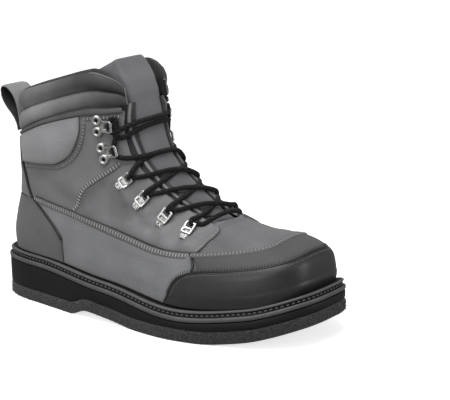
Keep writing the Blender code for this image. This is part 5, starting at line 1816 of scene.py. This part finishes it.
# The lace's runs as (level, turn, height in millimetres). Each crossing starts at the far side's
# ring, where the turn is above 1, and ends at the near side's next ring or hook.
CROSSINGS = (
    ((5.98, 1.195, 2.2), (6.55, 1.06, 4.4), (6.78, 0.93, 4.4), (6.72, 0.84, 3.4), (6.34, 0.765, 2.0)),
    ((6.85, 1.205, 2.2), (7.25, 1.05, 4.2), (7.45, 0.92, 4.2), (7.41, 0.84, 3.2), (7.14, 0.755, 2.0)),
    ((7.52, 1.215, 2.2), (7.98, 1.06, 4.0), (8.18, 0.96, 4.0), (8.08, 0.85, 3.2), (7.84, 0.765, 2.0)),
    ((8.60, 1.215, 2.2), (8.86, 1.10, 4.0), (8.80, 0.95, 4.0), (8.74, 0.865, 3.2), (8.76, 0.790, 2.6)),
)
FOOT_BAR = ((5.30, 0.765, 1.4), (5.86, 0.820, 2.6), (6.14, 0.885, 3.4), (6.24, 0.95, 3.8), (6.22, 1.02, 3.8),
            (6.10, 1.10, 3.2), (5.80, 1.18, 2.4), (5.34, 1.235, 1.4))
TOP_RUNS = (
    ((10.12, 0.805, 2.4), (10.24, 0.860, 2.8), (10.31, 0.93, 3.0), (10.32, 1.02, 2.8), (10.28, 1.12, 2.6),
     (10.26, 1.20, 2.2), (10.70, 1.215, 0.6), (11.05, 1.20, -2.5), (11.30, 1.18, -5.0)),
    ((9.96, 0.805, 2.2), (10.00, 0.860, 2.2), (10.04, 0.95, 2.0), (10.06, 1.06, 2.0), (9.92, 1.13, 2.2),
     (9.58, 1.195, 2.4), (9.50, 1.235, 1.2), (9.90, 1.250, -1.0), (10.80, 1.230, -3.0), (11.20, 1.18, -5.0)),
)


def smooth_route(points, step):
    """A smooth line through a route's points, sampled evenly."""
    points = np.array([tuple(point) for point in points])
    chords = np.linalg.norm(np.diff(points, axis=0), axis=1)
    keep = np.concatenate([[True], chords > 0.6 * MM])
    points = points[keep]
    for _ in range(2):
        points[1:-1] = 0.5 * points[1:-1] + 0.25 * (points[:-2] + points[2:])
    chords = np.sqrt(np.linalg.norm(np.diff(points, axis=0), axis=1))
    knots = np.concatenate([[0], np.cumsum(chords)])
    fine = np.linspace(0, knots[-1], len(points) * 14)
    i = np.clip(np.searchsorted(knots, fine, side="right") - 1, 0, len(points) - 2)
    slopes = np.gradient(points, knots, axis=0)
    gap = (knots[i + 1] - knots[i])[:, None]
    u = ((fine - knots[i]) / (knots[i + 1] - knots[i]))[:, None]
    line = ((2 * u ** 3 - 3 * u ** 2 + 1) * points[i] + (u ** 3 - 2 * u ** 2 + u) * gap * slopes[i]
            + (3 * u ** 2 - 2 * u ** 3) * points[i + 1] + (u ** 3 - u ** 2) * gap * slopes[i + 1])
    reach = reach_along(line)
    even = np.linspace(0, reach[-1], int(reach[-1] / step))
    return np.stack([np.interp(even, reach, line[:, axis]) for axis in range(3)], axis=-1), even


def build_lace():
    """One braided lace through all the rings and hooks."""
    sizes = sizes_now()
    line, reach = smooth_route(lace_route(), 0.55 * MM)
    sides = 14
    ahead = unit(np.gradient(line, axis=0))
    across = np.zeros_like(line)
    across[0] = unit(np.cross(ahead[0], [0, 0, 1]))
    for i in range(1, len(line)):
        across[i] = unit(across[i - 1] - ahead[i] * (across[i - 1] @ ahead[i]))
    up = np.cross(across, ahead)
    angles = np.linspace(0, 2 * np.pi, sides + 1)
    pitch = 2 * np.pi / (1.1 * sizes.lace)
    one = np.abs(np.sin(reach[:, None] * pitch + angles[None] * 4))
    other = np.abs(np.sin(reach[:, None] * pitch - angles[None] * 4))
    radius = sizes.lace / 2 * (0.93 + 0.09 * np.maximum(one, other))
    radius[:3] *= np.array([0.5, 0.8, 0.95])[:, None]
    radius[-3:] *= np.array([0.95, 0.8, 0.5])[:, None]
    rings = line[:, None] + radius[..., None] * (np.cos(angles)[None, :, None] * across[:, None]
                                                 + np.sin(angles)[None, :, None] * up[:, None])
    rings = rings[:, :sides]
    faces = grid_faces(len(line), sides, closed_columns=True) + end_caps(len(line), sides)
    mesh_uv = np.stack(np.broadcast_arrays(reach[:, None], np.arange(sides)[None] / sides), -1)
    lace = new_piece("lace_cord", rings, faces, [finishes()["lace"]], None, mesh_uv, crisp=70)
    place_piece(lace, "lace", "lace_bar_foot", "lace_cross_1", "lace_cross_2", "lace_cross_3", "lace_cross_4",
                "lace_cross_5", "lace_bar_top")


# The stage
def area_light(name, place, target, size, power):
    data = bpy.data.lights.new(name, 'AREA')
    data.shape = 'RECTANGLE'
    data.size, data.size_y = size
    data.energy = power
    lamp = linked(name, data)
    lamp.location = place
    lamp.rotation_mode = 'QUATERNION'
    lamp.rotation_quaternion = (Vector(target) - Vector(place)).to_track_quat('-Z', 'Y')


def build_stage():
    studio = bpy.context.scene.boot_studio
    floor_finish = Finish("pale_floor", 0.85, specular=0.1)
    floor_finish.put("Base Color", (0.90, 0.90, 0.90))
    floor_finish.put("Emission Color", (1.0, 1.0, 1.0))
    floor_finish.put("Emission Strength", studio.glow)
    mesh = bpy.data.meshes.new("floor")
    reach = 6.0
    mesh.from_pydata([(-reach, -reach, -0.0002), (reach, -reach, -0.0002), (reach, reach, -0.0002),
                      (-reach, reach, -0.0002)], [], [(0, 1, 2, 3)])
    mesh.materials.append(floor_finish.material)
    floor = linked("floor", mesh)
    floor.visible_diffuse = False
    floor.visible_glossy = False
    world = bpy.data.worlds.new("studio")
    world.use_nodes = True
    background = world.node_tree.nodes["Background"]
    background.inputs["Color"].default_value = (1.0, 1.0, 1.0, 1.0)
    background.inputs["Strength"].default_value = studio.world
    bpy.context.scene.world = world
    middle = (0.10, 0.0, 0.10)
    area_light("key", (0.15, -0.55, 1.55), middle, (1.3, 1.0), studio.key)
    area_light("side", (1.5, 0.45, 0.38), (0.24, 0.0, 0.06), (0.35, 0.95), studio.side)
    area_light("front", (0.2, -1.8, 0.7), middle, (1.2, 0.9), studio.front)


def build_camera():
    """The photograph's viewpoint."""
    data = bpy.data.cameras.new("camera")
    data.lens = CAMERA_LENS
    data.sensor_width = 36.0
    data.clip_start, data.clip_end = 0.05, 30.0
    camera = linked("camera", data)
    back = CAMERA_BACK.normalized()
    right = (CAMERA_RIGHT - back * CAMERA_RIGHT.dot(back)).normalized()
    place = Matrix((right, back.cross(right), back)).transposed().to_4x4()
    place.translation = CAMERA_PLACE
    camera.matrix_world = place
    bpy.context.scene.camera = camera
    bpy.context.scene.view_settings.view_transform = 'Standard'


# Operators, one for each group of pieces
class Step:
    """One group of like pieces, built in order."""

    def execute(self, context):
        for build in self.builders:
            build()
        return {'FINISHED'}


class BOOT_OT_stage(Step, bpy.types.Operator):
    """Set up the floor, the soft lights and the camera"""
    bl_idname = "boot.stage"
    bl_label = "Stage"
    builders = (build_stage, build_camera)


class BOOT_OT_sole(Step, bpy.types.Operator):
    """Build the felt, the midsole, the welt and the insole"""
    bl_idname = "boot.sole"
    bl_label = "Sole"
    builders = (build_felt_pad, build_felt_fibres, build_midsole_body, build_welt_strip, build_footbed)


class BOOT_OT_upper(Step, bpy.types.Operator):
    """Build the lasted upper and the panels sewn onto it"""
    bl_idname = "boot.upper"
    bl_label = "Upper and panels"
    builders = (build_upper_leather, build_panels)


class BOOT_OT_padding(Step, bpy.types.Operator):
    """Build the padded collar, the tongue with its gussets and the heel loop"""
    bl_idname = "boot.padding"
    bl_label = "Collar, tongue and loop"
    builders = (build_collar, build_tongue, build_gussets, build_heel_loop)


class BOOT_OT_seams(Step, bpy.types.Operator):
    """Sew the stitch rows and lay the piping and the eyelets"""
    bl_idname = "boot.seams"
    bl_label = "Seams"
    builders = (build_seams, build_collar_piping, build_drain_eyelets)


class BOOT_OT_lacing(Step, bpy.types.Operator):
    """Fix the lace rings and hooks and thread the lace"""
    bl_idname = "boot.lacing"
    bl_label = "Lacing"
    builders = (build_hardware, build_lace)


class BOOT_PT_panel(bpy.types.Panel):
    """Sizes, colours and steps of the boot"""
    bl_label = "Wading boot"
    bl_idname = "BOOT_PT_panel"
    bl_space_type = 'VIEW_3D'
    bl_region_type = 'UI'
    bl_category = "Boot"

    def draw(self, context):
        layout = self.layout
        for group in (context.scene.boot_sizes, context.scene.boot_colours, context.scene.boot_studio):
            box = layout.box()
            for setting in group.bl_rna.properties:
                if not setting.is_readonly and setting.identifier != "name":
                    box.prop(group, setting.identifier)
        for step in STEPS:
            layout.operator(step.bl_idname)


STEPS = (BOOT_OT_stage, BOOT_OT_sole, BOOT_OT_upper, BOOT_OT_padding, BOOT_OT_seams, BOOT_OT_lacing)
CLASSES = (BootSizes, BootColours, BootStudio) + STEPS + (BOOT_PT_panel,)


def register():
    for item in CLASSES:
        bpy.utils.register_class(item)
    bpy.types.Scene.boot_sizes = PointerProperty(type=BootSizes)
    bpy.types.Scene.boot_colours = PointerProperty(type=BootColours)
    bpy.types.Scene.boot_studio = PointerProperty(type=BootStudio)


def unregister():
    del bpy.types.Scene.boot_sizes
    del bpy.types.Scene.boot_colours
    del bpy.types.Scene.boot_studio
    for item in reversed(CLASSES):
        bpy.utils.unregister_class(item)


def main():
    register()
    bpy.ops.boot.stage()
    bpy.ops.boot.sole()
    bpy.ops.boot.upper()
    bpy.ops.boot.padding()
    bpy.ops.boot.seams()
    bpy.ops.boot.lacing()


if __name__ == "__main__":
    main()
